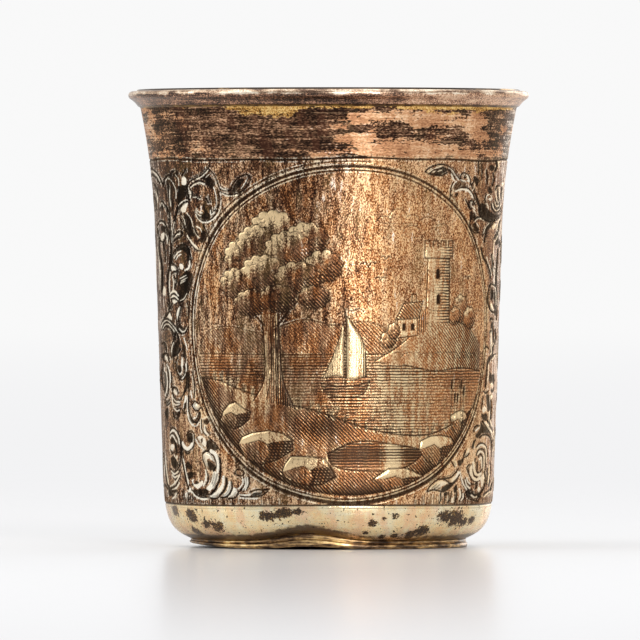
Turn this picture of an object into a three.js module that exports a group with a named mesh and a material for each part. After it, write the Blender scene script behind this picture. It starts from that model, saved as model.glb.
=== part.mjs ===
// A raised silver beaker: a tapering cup with a flared mouth, an applied lip band and a soldered foot ring.
// Millimetres, +Z up. The foot stands on Z = 0, the axis is Z, and the front faces -Y.
import * as THREE from "three";

// Cup
const HEIGHT = 80; // foot to mouth
const WALL = 0.6; // thickness of the raised sheet
const NECK_RADIUS = 30.4; // outside, where the flare begins
const WAIST_RADIUS = 28.95; // outside, where the straight wall meets the rounded base
const FLARE_HEIGHT = 24; // from the start of the flare to the mouth
const FLARE_OUT = 2.45; // how far the mouth leans out past the line of the wall
const BOUGE_HEIGHT = 10.7; // over which the wall turns in to the base
const BOUGE_SHOULDER = 8; // how far the wall's direction carries into the turn
const BOUGE_TURN = 3.55; // how far the base's direction carries into the turn
const BOUGE_RISE = THREE.MathUtils.degToRad(25); // how steeply the base leaves the foot ring
const DOME_RISE = 1.4; // the middle of the base is pushed up, so the cup stands on its ring

// Lip band: a drawn moulding round the outside of the mouth
const LIP_HEIGHT = 2.65; // from its lower edge to the top of the cup's wall
const LIP_REACH = 1.47; // how far its nose stands out from the mouth
const LIP_NOSE = 0.72; // radius of the rounded nose
const LIP_LEDGE = 0.36; // thickness at its lower edge

// Foot ring: a reeded wire under the base
const FOOT_RADIUS = 23.95; // outside, at the seat
const FOOT_HEIGHT = 1.6; // from the table to the underside of the cup
const FOOT_THICKNESS = 1.1;
const FOOT_REED = 0.45; // radius of the lower reed, which stands out from the seat
const FOOT_REED_OUT = 0.4; // how far it stands out

// Solder: the gap that it is drawn into, and the fillets that show outside the gap
const SOLDER_GAP = 0.05;
const SOLDER_LEG = 0.32;

// The knock in the base, at the front, left of the middle
const DENT_ANGLE = THREE.MathUtils.degToRad(-8); // from the front, positive to the right
const DENT_WIDTH = 6.5; // along the foot, from its middle to where it has mostly faded
const DENT_RISE = 1.3; // of the seat of the foot ring
const DENT_PUSH = 0.8; // of the rounded base, inwards
const DENT_REACH = 8.5; // height above the table where it has faded out
const DENT_INSIDE = 6; // distance in from the foot ring where it has faded out

const SEGMENTS = 72; // round the axis

// Levels and radii that the pieces share
const baseZ = FOOT_HEIGHT;
const waistZ = baseZ + BOUGE_HEIGHT;
const flareZ = HEIGHT - FLARE_HEIGHT;
const edgeZ = HEIGHT - WALL / 2; // the mouth's half-round edge starts here
const lipZ = edgeZ - LIP_HEIGHT;
const footInside = FOOT_RADIUS - FOOT_THICKNESS;
const seatOutside = FOOT_RADIUS + SOLDER_GAP + SOLDER_LEG; // where the base starts to turn up
const domeRadius = footInside - SOLDER_GAP - SOLDER_LEG;

const point = (r, z) => new THREE.Vector2(r, z);

// Evenly spaced numbers from a to b, both included.
const steps = (a, b, count) => Array.from({ length: count + 1 }, (_, i) => a + ((b - a) * i) / count);

// Outside radius of the wall above the waist: a straight taper, then a flare that grows with the square.
function wallRadius(z) {
  const taper = (NECK_RADIUS - WAIST_RADIUS) / (flareZ - waistZ);
  const flare = Math.max(0, (z - flareZ) / FLARE_HEIGHT);
  return WAIST_RADIUS + taper * (z - waistZ) + FLARE_OUT * flare * flare;
}

// Underside of the base, from the axis to the foot ring's seat.
const dome = steps(0, domeRadius, 5).map((r) =>
  point(r, baseZ + DOME_RISE * (1 - (r / domeRadius) ** 2)),
);

// The rounded turn from the base to the wall, leaving each along its own direction.
const taperLean = (NECK_RADIUS - WAIST_RADIUS) / (flareZ - waistZ);
const bouge = new THREE.CubicBezierCurve(
  point(seatOutside, baseZ),
  point(seatOutside + BOUGE_TURN * Math.cos(BOUGE_RISE), baseZ + BOUGE_TURN * Math.sin(BOUGE_RISE)),
  point(WAIST_RADIUS - taperLean * BOUGE_SHOULDER, waistZ - BOUGE_SHOULDER),
  point(WAIST_RADIUS, waistZ),
).getPoints(10);

// Levels of the lip band's seat on the wall, from its lower edge to the mouth.
const lipSeat = steps(lipZ, edgeZ, 3).map((z) => point(wallRadius(z), z));
const flare = steps(flareZ, lipZ, 5)
  .slice(0, -1)
  .map((z) => point(wallRadius(z), z));

// Moves each point of an open profile sideways by a distance, to the left of its direction.
function offset(points, distance) {
  return points.map((p, i) => {
    const before = points[Math.max(0, i - 1)];
    const after = points[Math.min(points.length - 1, i + 1)];
    const along = after.clone().sub(before).normalize();
    const onAxis = p.x === 0;
    return onAxis ? point(0, p.y + distance) : point(p.x - along.y * distance, p.y + along.x * distance);
  });
}

// Half-round edge between the outside and the inside of the mouth.
function mouthEdge(outside, inside) {
  const middle = outside.clone().add(inside).multiplyScalar(0.5);
  const half = inside.clone().sub(outside).multiplyScalar(0.5);
  const up = point(half.y, -half.x);
  return steps(0, Math.PI, 6)
    .slice(1, -1)
    .map((a) => middle.clone().addScaledVector(half, -Math.cos(a)).addScaledVector(up, Math.sin(a)));
}

function cupProfile() {
  const outside = [...dome, ...bouge, ...flare, ...lipSeat];
  const inside = offset(outside, WALL);
  const rim = outside.at(-1);
  inside.at(-1).set(rim.x - WALL, rim.y);
  const edge = mouthEdge(rim, inside.at(-1));
  return [...outside, ...edge, ...inside.reverse()];
}

// A ring's section, closed on itself.
const closed = (points) => [...points, points[0]];

function lipProfile() {
  const seat = lipSeat.map((p) => point(p.x + SOLDER_GAP, p.y));
  const nose = point(seat.at(-1).x + LIP_REACH - LIP_NOSE, edgeZ - LIP_NOSE);
  const round = steps(-Math.PI / 3, Math.PI / 2, 5).map((a) =>
    point(nose.x + LIP_NOSE * Math.cos(a), nose.y + LIP_NOSE * Math.sin(a)),
  );
  return closed([point(seat[0].x + LIP_LEDGE, lipZ), ...round, ...seat.reverse()]);
}

function footProfile() {
  const seatZ = baseZ - SOLDER_GAP;
  const reed = point(FOOT_RADIUS + FOOT_REED_OUT - FOOT_REED, FOOT_REED);
  const lower = steps(-Math.PI / 2, Math.PI / 2, 6).map((a) =>
    point(reed.x + FOOT_REED * Math.cos(a), reed.y + FOOT_REED * Math.sin(a)),
  );
  const neck = point(FOOT_RADIUS, 2 * FOOT_REED + SOLDER_GAP);
  return closed([point(footInside, 0), ...lower, neck, point(FOOT_RADIUS, seatZ), point(footInside, seatZ)]);
}

// A fillet of solder in a corner: its two legs run along the surfaces that it joins.
function filletProfile(corner, legA, legB) {
  const hollow = corner.clone().addScaledVector(legA, 1 / 3).addScaledVector(legB, 1 / 3);
  return closed([corner, corner.clone().add(legA), hollow, corner.clone().add(legB)]);
}

function lipFillet() {
  const top = lipZ - SOLDER_GAP;
  const bottom = top - SOLDER_LEG;
  const corner = point(wallRadius(top) + SOLDER_GAP, top);
  const down = point(wallRadius(bottom) + SOLDER_GAP, bottom).sub(corner);
  return filletProfile(corner, down, point(SOLDER_LEG, 0));
}

function footFillet(side) {
  const wall = side > 0 ? FOOT_RADIUS : footInside;
  const corner = point(wall + side * SOLDER_GAP, baseZ - SOLDER_GAP);
  const across = point(side * SOLDER_LEG, 0);
  const down = point(0, -SOLDER_LEG);
  return side > 0 ? filletProfile(corner, down, across) : filletProfile(corner, across, down);
}

// Fades from 1 at a to 0 at b, smoothly.
const fade = (x, a, b) => 1 - THREE.MathUtils.smoothstep(x, a, b);

// Raises the seat and pushes in the base round the knock. The edge that stands on the table stays level.
function dent(v) {
  const radius = Math.hypot(v.x, v.y);
  if (radius === 0) return;
  const angle = Math.atan2(v.x, -v.y) - DENT_ANGLE;
  const along = (angle * FOOT_RADIUS) / DENT_WIDTH;
  const level = (1 - fade(v.z, 0, baseZ)) * fade(v.z, baseZ, DENT_REACH);
  const strength = Math.exp(-along * along) * level;
  const inside = 1 - fade(radius, footInside - DENT_INSIDE, footInside);
  const outside = 1 - fade(radius, FOOT_RADIUS, seatOutside + BOUGE_TURN);
  const pushed = (radius - DENT_PUSH * strength * outside) / radius;
  v.set(v.x * pushed, v.y * pushed, v.z + DENT_RISE * strength * inside);
}

// Turns a section round the Z axis and puts the knock in it.
function turned(profile) {
  const solid = new THREE.LatheGeometry(profile, SEGMENTS).rotateX(Math.PI / 2);
  const places = solid.getAttribute("position");
  const v = new THREE.Vector3();
  for (let i = 0; i < places.count; i += 1) {
    v.fromBufferAttribute(places, i);
    dent(v);
    places.setXYZ(i, v.x, v.y, v.z);
  }
  solid.computeVertexNormals();
  return solid;
}

const silver = new THREE.MeshStandardMaterial({ color: 0x8f6f4c, roughness: 0.42, metalness: 1 });
const lipSilver = new THREE.MeshStandardMaterial({ color: 0x8a7466, roughness: 0.35, metalness: 1 });
const gilt = new THREE.MeshStandardMaterial({ color: 0xb08a4a, roughness: 0.38, metalness: 1 });
const solder = new THREE.MeshStandardMaterial({ color: 0x9a7a38, roughness: 0.55, metalness: 1 });

function piece(name, profile, material) {
  const mesh = new THREE.Mesh(turned(profile), material);
  mesh.name = name;
  return mesh;
}

const beaker = new THREE.Group();
beaker.add(
  piece("beaker_body", cupProfile(), silver),
  piece("lip_band", lipProfile(), lipSilver),
  piece("lip_solder_seam", lipFillet(), solder),
  piece("foot_ring", footProfile(), gilt),
  piece("foot_solder_seam_outer", footFillet(1), solder),
  piece("foot_solder_seam_inner", footFillet(-1), solder),
);

export default beaker;
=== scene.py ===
"""A small engraved silver beaker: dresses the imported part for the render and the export."""

import math

import bpy
import numpy as np
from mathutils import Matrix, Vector


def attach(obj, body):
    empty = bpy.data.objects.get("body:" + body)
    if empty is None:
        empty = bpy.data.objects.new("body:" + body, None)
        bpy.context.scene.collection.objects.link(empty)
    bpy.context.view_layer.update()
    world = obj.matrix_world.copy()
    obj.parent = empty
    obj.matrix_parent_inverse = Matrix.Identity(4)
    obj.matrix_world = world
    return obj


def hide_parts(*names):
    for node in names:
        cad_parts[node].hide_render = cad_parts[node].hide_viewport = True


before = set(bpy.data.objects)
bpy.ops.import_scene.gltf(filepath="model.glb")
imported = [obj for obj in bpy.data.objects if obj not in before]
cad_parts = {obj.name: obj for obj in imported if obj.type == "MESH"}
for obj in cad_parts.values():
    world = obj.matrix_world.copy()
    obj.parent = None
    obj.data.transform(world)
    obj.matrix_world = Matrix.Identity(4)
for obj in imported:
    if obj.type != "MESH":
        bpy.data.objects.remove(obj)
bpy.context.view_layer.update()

# The photograph's frame: 640 pixels square, and what it shows at the beaker's axis
FRAME_PIXELS = 640
PIXELS_PER_MM = 5.71
AXIS_PIXEL = 328.5  # column of the axis
TABLE_PIXEL = 546.5  # row where the foot stands
EYE_PIXEL = 257  # row at the height of the eye
EYE_DISTANCE = 2186  # millimetres from the eye to the axis
SENSOR_WIDTH = 36

# The cup in millimetres, as in the part's source
HEIGHT = 80
WALL = 0.6
NECK_RADIUS = 30.4
WAIST_RADIUS = 28.95
FLARE_HEIGHT = 24
FLARE_OUT = 2.45
BOUGE_HEIGHT = 10.7
BOUGE_SHOULDER = 8
BOUGE_TURN = 3.55
BOUGE_RISE = math.radians(25)
DOME_RISE = 1.4
LIP_HEIGHT = 2.65
LIP_REACH = 1.47
LIP_NOSE = 0.72
LIP_LEDGE = 0.36
FOOT_RADIUS = 23.95
FOOT_HEIGHT = 1.6
FOOT_THICKNESS = 1.1
FOOT_REED = 0.45
FOOT_REED_OUT = 0.4
SOLDER_GAP = 0.05
SOLDER_LEG = 0.32
DENT_ANGLE = math.radians(-8)
DENT_WIDTH = 6.5
DENT_RISE = 1.3
DENT_PUSH = 0.8
DENT_REACH = 8.5
DENT_INSIDE = 6

# What only the visual model has
DENT_LIFT = 0.4  # share of the knock's rise that reaches the foot's lower edge
SIDE_LIFT = 0.7  # how far the foot's lower edge is bent up at the left side
LIP_HOLLOW = 0.09  # how far the lip band's lower face is hollowed
UPPER_REED = 0.27  # radius of the foot ring's upper reed
UPPER_REED_Z = 1.18
UPPER_REED_IN = 0.12  # how far its middle lies inside the foot's seat
SEGMENTS = 288  # round the axis, for turned pieces
SHARP_EDGE = math.radians(72)  # faces that meet at more than this keep a hard edge

# Levels and radii that the pieces share
BASE_Z = FOOT_HEIGHT
WAIST_Z = BASE_Z + BOUGE_HEIGHT
FLARE_Z = HEIGHT - FLARE_HEIGHT
EDGE_Z = HEIGHT - WALL / 2
LIP_Z = EDGE_Z - LIP_HEIGHT
FOOT_INSIDE = FOOT_RADIUS - FOOT_THICKNESS
SEAT_OUTSIDE = FOOT_RADIUS + SOLDER_GAP + SOLDER_LEG
DOME_RADIUS = FOOT_INSIDE - SOLDER_GAP - SOLDER_LEG
TAPER = (NECK_RADIUS - WAIST_RADIUS) / (FLARE_Z - WAIST_Z)

# The engraved wall
SKIN = 0.25  # thickness of the engraved skin that covers the cup
SKIN_GAP = 0.03  # between the skin and the cup behind it
ROLL_RADIUS = 30  # millimetres along the wall for one radian
ROUNDEL_ANGLE = math.radians(7.2)  # the front roundel's middle, right of the front
ROUNDEL_Z = 37.3
ROUNDEL_MIDDLE = (0, ROUNDEL_Z)
ROUNDEL_WIDE = 1.08  # the roundels are wider than tall by this
ROUNDEL_INNER = 28.5  # half-height inside the frame
ROUNDEL_OUTER = 29.6
UPPER_LINE_Z = 67.6
LOWER_LINE_Z = 7.65
COLUMNS = 1200  # of the engraver's sheet, round the wall
SECTORS = ("front_left", "front_right", "right", "back_right", "back_left", "left")
FINE_ROW = 0.16  # millimetres between the sheet's rows between the border lines
PLAIN_ROW = 0.35  # and above and below them
FINE_MARGIN = 0.8  # how far the fine rows run on past the border lines
BACK_STEP = 10  # points on a sector's front for one on its back
EDGE_SOFT = 0.13  # millimetres over which a cut's edge fades
BURR_OUT = 0.17  # from a cut's edge to the crest of its burr
BURR_RISE = 0.02
SHAPE_SOFT = 0.16  # over which a filled shape's edge fades
SHAPE_SLOPE = 0.5  # over which it rises from its edge
LEAF_RISE = 0.09  # how far a leaf's spine stands proud of its edges
VEIN_PITCH = 0.62  # between a leaf's veins where it is broadest
LINE_RUN = 10  # stretches of a line that are cut at a time


def new_object(name, data):
    made = bpy.data.objects.new(name, data)
    bpy.context.scene.collection.objects.link(made)
    return made


def make_camera():
    data = bpy.data.cameras.new("camera")
    data.sensor_width = SENSOR_WIDTH
    data.lens = PIXELS_PER_MM * EYE_DISTANCE * SENSOR_WIDTH / FRAME_PIXELS
    camera = new_object("camera", data)
    middle = FRAME_PIXELS / 2
    eye = Vector((0, -EYE_DISTANCE, (TABLE_PIXEL - EYE_PIXEL) / PIXELS_PER_MM)) / 1000
    aim = Vector(((middle - AXIS_PIXEL) / PIXELS_PER_MM, 0, (TABLE_PIXEL - middle) / PIXELS_PER_MM)) / 1000
    camera.location = eye
    camera.rotation_euler = (aim - eye).to_track_quat("-Z", "Y").to_euler()
    bpy.context.scene.camera = camera


make_camera()


# Profiles of the turned pieces: radius and height in millimetres


def wall_radius(z):
    """Outside radius above the rounded base: a straight taper, then a flare."""
    flare = np.maximum(0, (np.asarray(z, float) - FLARE_Z) / FLARE_HEIGHT)
    return WAIST_RADIUS + TAPER * (z - WAIST_Z) + FLARE_OUT * flare**2


def bouge_curve(count):
    """The rounded turn from the foot's seat to the wall."""
    t = np.linspace(0, 1, count)[:, None]
    turn = BOUGE_TURN * np.array([math.cos(BOUGE_RISE), math.sin(BOUGE_RISE)])
    a = np.array([SEAT_OUTSIDE, BASE_Z])
    d = np.array([WAIST_RADIUS, WAIST_Z])
    c = d - BOUGE_SHOULDER * np.array([TAPER, 1])
    return a * (1 - t) ** 3 + 3 * (a + turn) * t * (1 - t) ** 2 + 3 * c * t**2 * (1 - t) + d * t**3


def wall_profile():
    """The cup's outside from the foot's seat to the lip."""
    z = np.linspace(WAIST_Z, LIP_Z, 160)[1:]
    return np.vstack([bouge_curve(80), np.column_stack([wall_radius(z), z])])


def arc(centre, radius, start, end, count, squash=1.0):
    """Points on an arc, in degrees from its right, made lower by the squash."""
    a = np.radians(np.linspace(start, end, count))
    return np.column_stack([centre[0] + radius * np.cos(a), centre[1] + radius * squash * np.sin(a)])


def round_again(points):
    """A closed outline, back at its first point."""
    return np.vstack([points, points[:1]])


def along(profile):
    """The length of a profile up to each of its points."""
    step = np.hypot(*np.diff(profile, axis=0).T)
    return np.concatenate([[0], np.cumsum(step)])


def left_of(profile, distance):
    """The profile moved sideways, to the left of its direction."""
    way = np.gradient(profile, axis=0)
    way /= np.linalg.norm(way, axis=1, keepdims=True)
    return profile + distance * np.column_stack([-way[:, 1], way[:, 0]])


def fade(x, a, b):
    """1 up to a and 0 from b on, smooth between."""
    t = np.clip((x - a) / (b - a), 0, 1)
    return 1 - t * t * (3 - 2 * t)


def rise(x, a, b):
    """0 up to a and 1 from b on, smooth between."""
    return 1 - fade(x, a, b)


def bell(x, middle, width):
    """1 at the middle, and less on both sides of it."""
    return np.exp(-(((x - middle) / width) ** 2))


def knocked(co):
    """The knock in the base, on points in millimetres.

    The foot's lower edge is bent up there and at the left side.
    """
    x, y, z = co.T
    radius = np.hypot(x, y)
    across = (np.arctan2(x, -y) - DENT_ANGLE) * FOOT_RADIUS / DENT_WIDTH
    strength = np.exp(-(across**2)) * (1 - (1 - DENT_LIFT) * fade(z, 0, BASE_Z)) * fade(z, BASE_Z, DENT_REACH)
    inside = rise(radius, FOOT_INSIDE - DENT_INSIDE, FOOT_INSIDE)
    outside = rise(radius, FOOT_RADIUS, SEAT_OUTSIDE + BOUGE_TURN)
    pushed = 1 - DENT_PUSH * strength * outside / np.maximum(radius, 1e-6)
    bent = SIDE_LIFT * np.clip(-x / np.maximum(radius, 1e-6), 0, 1) ** 4 * fade(z, 0, BASE_Z)
    return np.column_stack([x * pushed, y * pushed, z + (DENT_RISE * strength + bent) * inside])


# Node graphs: sockets as values, so that node maths reads as Python


class Value:
    def __init__(self, graph, node, output=0):
        self.graph, self.node = graph, node
        self.socket = node.outputs[output] if len(node.outputs) else None

    def out(self, name):
        return Value(self.graph, self.node, name)

    def math(self, operation, *others):
        inputs = dict(enumerate((self, *others)))
        return self.graph.add("ShaderNodeMath", {"operation": operation}, inputs)

    def __add__(self, other):
        return self.math("ADD", other)

    def __sub__(self, other):
        return self.math("SUBTRACT", other)

    def __mul__(self, other):
        return self.math("MULTIPLY", other)

    def __truediv__(self, other):
        return self.math("DIVIDE", other)

    def __rsub__(self, other):
        return self.math("MULTIPLY", -1).math("ADD", other)

    __radd__, __rmul__ = __add__, __mul__

    def step(self, low, high):
        """0 below low, 1 above high, smooth between; the other way round if low is above high."""
        return self.graph.add(
            "ShaderNodeMapRange",
            {"interpolation_type": "SMOOTHSTEP"},
            {"Value": self, "From Min": low, "From Max": high},
        )

    def clamped(self):
        return self.math("MAXIMUM", 0).math("MINIMUM", 1)


class Graph:
    def __init__(self, tree):
        self.tree = tree
        tree.nodes.clear()

    def add(self, kind, settings=None, inputs=None, output=0):
        node = self.tree.nodes.new(kind)
        for name, value in (settings or {}).items():
            setattr(node, name, value)
        for name, value in (inputs or {}).items():
            if isinstance(value, Value):
                self.tree.links.new(value.socket, node.inputs[name])
            else:
                node.inputs[name].default_value = value
        return Value(self, node, output)

    def mix(self, factor, a, b):
        return self.add("ShaderNodeMix", {"data_type": "RGBA"}, {0: factor, 6: a, 7: b}, 2)

    def ramp(self, value, *tones):
        """Colours spread evenly from 0 to 1."""
        made = self.add("ShaderNodeValToRGB", None, {"Fac": value})
        stops = made.node.color_ramp.elements
        for i, tone in enumerate(tones):
            place = i / (len(tones) - 1)
            stop = stops[i] if i < 2 else stops.new(place)
            stop.position, stop.color = place, tone
        return made

    def split(self, vector, output="X"):
        """One part of a vector; the others are its other outputs."""
        return self.add("ShaderNodeSeparateXYZ", None, {"Vector": vector}, output)

    def attribute(self, name):
        return self.add("ShaderNodeAttribute", {"attribute_name": name}, output="Fac")

    def noise(self, place, scale, detail=2.0, rough=0.5, stretch=(1, 1, 1), offset=(0, 0, 0)):
        spot = self.add("ShaderNodeMapping", None, {"Vector": place, "Scale": stretch, "Location": offset})
        return self.add(
            "ShaderNodeTexNoise", None, {"Vector": spot, "Scale": scale, "Detail": detail, "Roughness": rough}
        )


def srgb(red, green, blue):
    """A screen colour of 0 to 255 as linear light."""
    lin = [c / 255 / 12.92 if c <= 10 else ((c / 255 + 0.055) / 1.055) ** 2.4 for c in (red, green, blue)]
    return (*lin, 1.0)


def shades(*colours):
    """Screen colours, dark to light, for a ramp."""
    return [srgb(*colour) for colour in colours]


def new_material(name):
    """A material, its graph, and Object coordinates in it."""
    material = bpy.data.materials.new(name)
    material.use_nodes = True
    g = Graph(material.node_tree)
    return material, g, g.add("ShaderNodeTexCoord", output="Object")


EDGE_TINT = (0.7, 0.62, 0.54, 1)  # old silver stays warm where it is seen at a slant


def finish_metal(graph, colour, roughness, height, bump=0.2, distance=0.0001, coat=0.8):
    normal = graph.add(
        "ShaderNodeBump", None, {"Strength": bump, "Distance": distance, "Height": height}, "Normal"
    )
    metal = graph.add(
        "ShaderNodeBsdfPrincipled",
        None,
        {
            "Base Color": colour,
            "Roughness": roughness,
            "Metallic": 1.0,
            "Normal": normal,
            "Coat Weight": coat,
            "Specular Tint": EDGE_TINT,
            "Coat IOR": 1.3,
            "Coat Roughness": 0.3,
        },
    )
    graph.add("ShaderNodeOutputMaterial", None, {"Surface": metal})


UMBER = srgb(70, 46, 28)
# Dark of the cuts and hatching, also used for painted shadow and dark reflection lines
SOOT_AND_SHADE = srgb(42, 30, 22)


class WallFinish:
    """Tarnished silver: reads what was cut, worn and soiled at each point of the wall, and where light and
    shade are painted on it.
    """

    GROUND = shades((34, 17, 8), (86, 48, 24), (140, 88, 50), (188, 126, 77), (244, 200, 146))
    GREY_GROUND = shades((30, 23, 18), (74, 58, 47), (118, 96, 79), (164, 138, 114), (226, 200, 170))
    NECK_DIRT = shades((34, 21, 14), (66, 45, 32), (98, 70, 51), (138, 102, 76), (206, 162, 126))
    CLEARED = shades((96, 60, 40), (172, 120, 84), (212, 158, 114), (246, 210, 170))
    POLISHED = shades((214, 160, 108), (252, 210, 152), (255, 232, 182), (255, 246, 212))
    CRUST = shades((30, 19, 14), (52, 34, 25), (84, 58, 36), (186, 146, 78))
    GILDING = shades((92, 60, 30), (206, 152, 78), (252, 220, 146))

    def __init__(self):
        self.material, g, place = new_material("tarnished_silver")
        self.g, self.place = g, place
        for name in ("cut", "worn", "grime", "neck", "base", "calm", "leafy"):
            setattr(self, name, g.attribute(name))
        self.right = g.split(place).step(-0.012, 0.016)
        self.arc = g.split(g.attribute("unrolled").out("Vector"))
        self.up = self.arc.out("Y")
        self.patch = g.noise(place, 230, 3.0, 0.6, (1, 1, 0.5)) - 0.5
        self.runs = g.noise(place, 1250, 2.0, 0.55, (1, 1, 0.2)) - 0.5
        self.grit = g.noise(place, 5200, 1.0, 0.5, (1, 1, 0.65), (3, 1, 2)) - 0.5
        self.hue = g.noise(place, 330, 3.0, 0.6, (1, 1, 0.4), (2, 8, 3))
        self.bands = g.noise(place, 1700, 3.0, 0.7, (0.06, 0.06, 1.7), (1, 4, 2)) - 0.5
        self.broad = g.noise(place, 420, 4.0, 0.65, (0.5, 0.5, 1.3), (5, 4, 2)) - 0.5
        self.level_grit = g.noise(place, 4600, 1.0, 0.5, (0.45, 0.45, 1), (6, 1, 4)) - 0.5
        self.dots = g.noise(place, 1700, 1.0, 0.5, (1, 1, 1), (7, 2, 5))
        coarse = self.grit * (2.8 - 1.7 * self.calm - 0.4 * self.right)
        streaked = self.runs * (2.4 - 1.2 * self.calm - 1.5 * self.right)
        self.matt = 0.64 + coarse + streaked + self.patch * 0.6 - (self.grime - 0.5) * 1.1

    def hatching(self):
        """Engraved hatching in three directions, closer where the sheet asks for more."""
        g, around, up = self.g, self.arc, self.up
        waver = g.noise(self.place, 900, 1.0) * 0.25
        slant = (around + up) * 0.7071
        hatch = 0
        for tone, way, pitch in (("level", up, 0.5), ("slant", slant, 0.46), ("upright", around, 0.42)):
            stroke = ((way + waver) / pitch).math("PINGPONG", 0.5) * 2
            asked = g.attribute(tone)
            hatch = ((asked - stroke) * 2.2 + 0.25).clamped() * asked.step(0.02, 0.12) + hatch
        return hatch.clamped()

    def ground(self):
        """The matted ground: fine dark pits and bare points, soiled in upright runs."""
        g, hue, leafy, right = self.g, self.hue, self.leafy, self.right
        greyed = leafy * (0.42 - 0.16 * right) + hue.step(0.4, 0.6) * (1 - leafy) * (0.62 - 0.4 * right)
        tone = g.mix(greyed, g.ramp(self.matt, *self.GROUND), g.ramp(self.matt, *self.GREY_GROUND))
        tone = g.mix(hue.step(0.52, 0.66) * 0.22, tone, srgb(150, 122, 70))
        tone = g.mix(hue.step(0.44, 0.32) * 0.2, tone, srgb(150, 100, 66))
        pits = g.noise(self.place, 2300, 2.0, 0.6, (1, 1, 0.75), (8, 3, 1))
        pits = (pits + self.patch * 0.12 + (self.grime - 0.5) * 0.12).step(0.55, 0.6)
        return g.mix(pits * (1 - self.calm) * (0.75 - 0.4 * right), tone, srgb(54, 35, 24))

    def turned_neck(self):
        """Dark tarnish with level scratches, and sharp-edged bare patches."""
        g, hue, bands, broad, grit = self.g, self.hue, self.bands, self.broad, self.level_grit
        dirt = 0.43 + bands * 2.2 + grit * 2.2 + broad * 2.0 + self.patch * 1.3
        dirt = g.ramp(dirt, *self.NECK_DIRT)
        dirt = g.mix(hue.step(0.54, 0.62) * 0.35, dirt, srgb(96, 58, 42))
        dirt = g.mix(hue.step(0.44, 0.36) * 0.3, dirt, srgb(74, 62, 42))
        bare = g.ramp(0.55 + grit * 1.1 + bands * 1.1 + self.patch * 1.5, *self.CLEARED)
        cleared = 0.5 + broad * 2.4 + grit * 0.7 + bands * 0.9 - (self.grime - 0.5) * 1.5
        spotless = 1 - self.dots.step(0.66, 0.7) * 0.9
        tone = g.mix(cleared.step(0.44, 0.58) * spotless, dirt, bare)
        scratch = g.noise(self.place, 2600, 1.0, 0.5, (0.04, 0.04, 1.2), (3, 3, 7))
        return g.mix((scratch + grit * 0.3).step(0.64, 0.7) * 0.4, tone, srgb(214, 172, 132))

    def polished_base(self):
        """Polished, with tarnish spots, and a painted dark reflection of the foot just above it."""
        g, bands, grit, dots = self.g, self.bands, self.grit, self.dots
        ragged = g.noise(self.place, 800, 3.0, 0.62) - 0.5
        halo = g.attribute("blotch")
        tone = g.ramp(0.68 + self.patch * 1.8 + bands * 0.7 + grit * 0.5, *self.POLISHED)
        tone = g.mix(self.hue.step(0.46, 0.62) * 0.5, tone, srgb(244, 190, 152))
        foot_reflection = (self.grime + ragged * 0.7 + bands * 0.5).step(0.36, 0.66)
        tone = g.mix(foot_reflection * 0.88, tone, srgb(78, 56, 40))
        stain = (halo + ragged * 0.8).step(0.24, 0.6) * 0.4
        tone = g.mix(stain, tone, srgb(150, 104, 68))
        specks = g.noise(self.place, 3400, 1.0, 0.5, (1, 1, 1), (4, 6, 1))
        spots = (halo + ragged * 1.7).step(0.49, 0.55) + (dots + halo * 0.25).step(0.68, 0.71)
        spots = (spots + (specks + halo * 0.3).step(0.71, 0.74)).clamped()
        crust = g.ramp(0.34 + grit * 2.4 + ragged * 1.6, *self.CRUST)
        return g.mix(spots * 0.95, tone, crust)

    def gilded(self, tone):
        """Gilding left below the lip."""
        g = self.g
        below_lip = self.up.step(76.05, 76.35) * 0.3
        left = g.attribute("gilt") + below_lip + self.broad * 2.2 + self.level_grit * 0.9
        leaf = g.ramp(0.52 + self.grit * 2.2 + self.bands * 1.6 + self.patch, *self.GILDING)
        return g.mix(left.step(0.5, 0.6) * self.neck * 0.92, tone, leaf)

    def add_painted_highlights(self, tone):
        """Painted highlights at the sides, in upright streaks on the wall and level ones on the neck, and a
        spot above the front roundel.
        """
        g = self.g
        upright, level = self.runs * 2.2 + self.grit, self.bands * 1.6 + self.level_grit * 1.4
        streaks = g.mix(self.neck, upright, level)
        bright = (g.attribute("silvered") + streaks).step(0.42, 0.74)
        return g.mix(bright * (1 - self.base) * 0.9, tone, srgb(246, 234, 220))

    def engraved(self, tone, hatch):
        """Bare on what stands proud, and dark in the cuts."""
        g, worn, leafy = self.g, self.worn, self.leafy
        warm = 0.1 + self.patch * 2 + self.calm + self.right * 0.45 + (1 - leafy) * 0.45
        bare = g.mix(warm.clamped(), srgb(255, 246, 226), srgb(242, 212, 164))
        proud = worn + (self.runs * 1.6 + self.grit * 1.5) * worn.step(0.02, 0.3)
        tone = g.mix(proud.step(0.14, 0.78), tone, bare)
        tone = g.mix((hatch * 0.92).clamped(), tone, SOOT_AND_SHADE)
        return g.mix((self.cut * 0.97).clamped(), tone, g.mix(leafy, SOOT_AND_SHADE, srgb(26, 22, 19)))

    def make(self):
        g, base, cut = self.g, self.base, self.cut
        hatch = self.hatching()
        tone = g.mix(self.neck, self.ground(), self.turned_neck())
        tone = g.mix(base, tone, self.polished_base())
        tone = self.engraved(self.add_painted_highlights(self.gilded(tone)), hatch)
        soil = (1 - self.matt).clamped()
        rough = 0.36 + 0.16 * soil - 0.12 * self.worn + 0.12 * cut - 0.1 * base - 0.04 * self.calm
        height = self.runs * 0.6 + self.grit * 0.9 - hatch * 1.5
        finish_metal(g, tone, rough, height, bump=0.45, distance=0.00008, coat=0.2 + 0.65 * base - 0.18 * cut)
        return self.material


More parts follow.
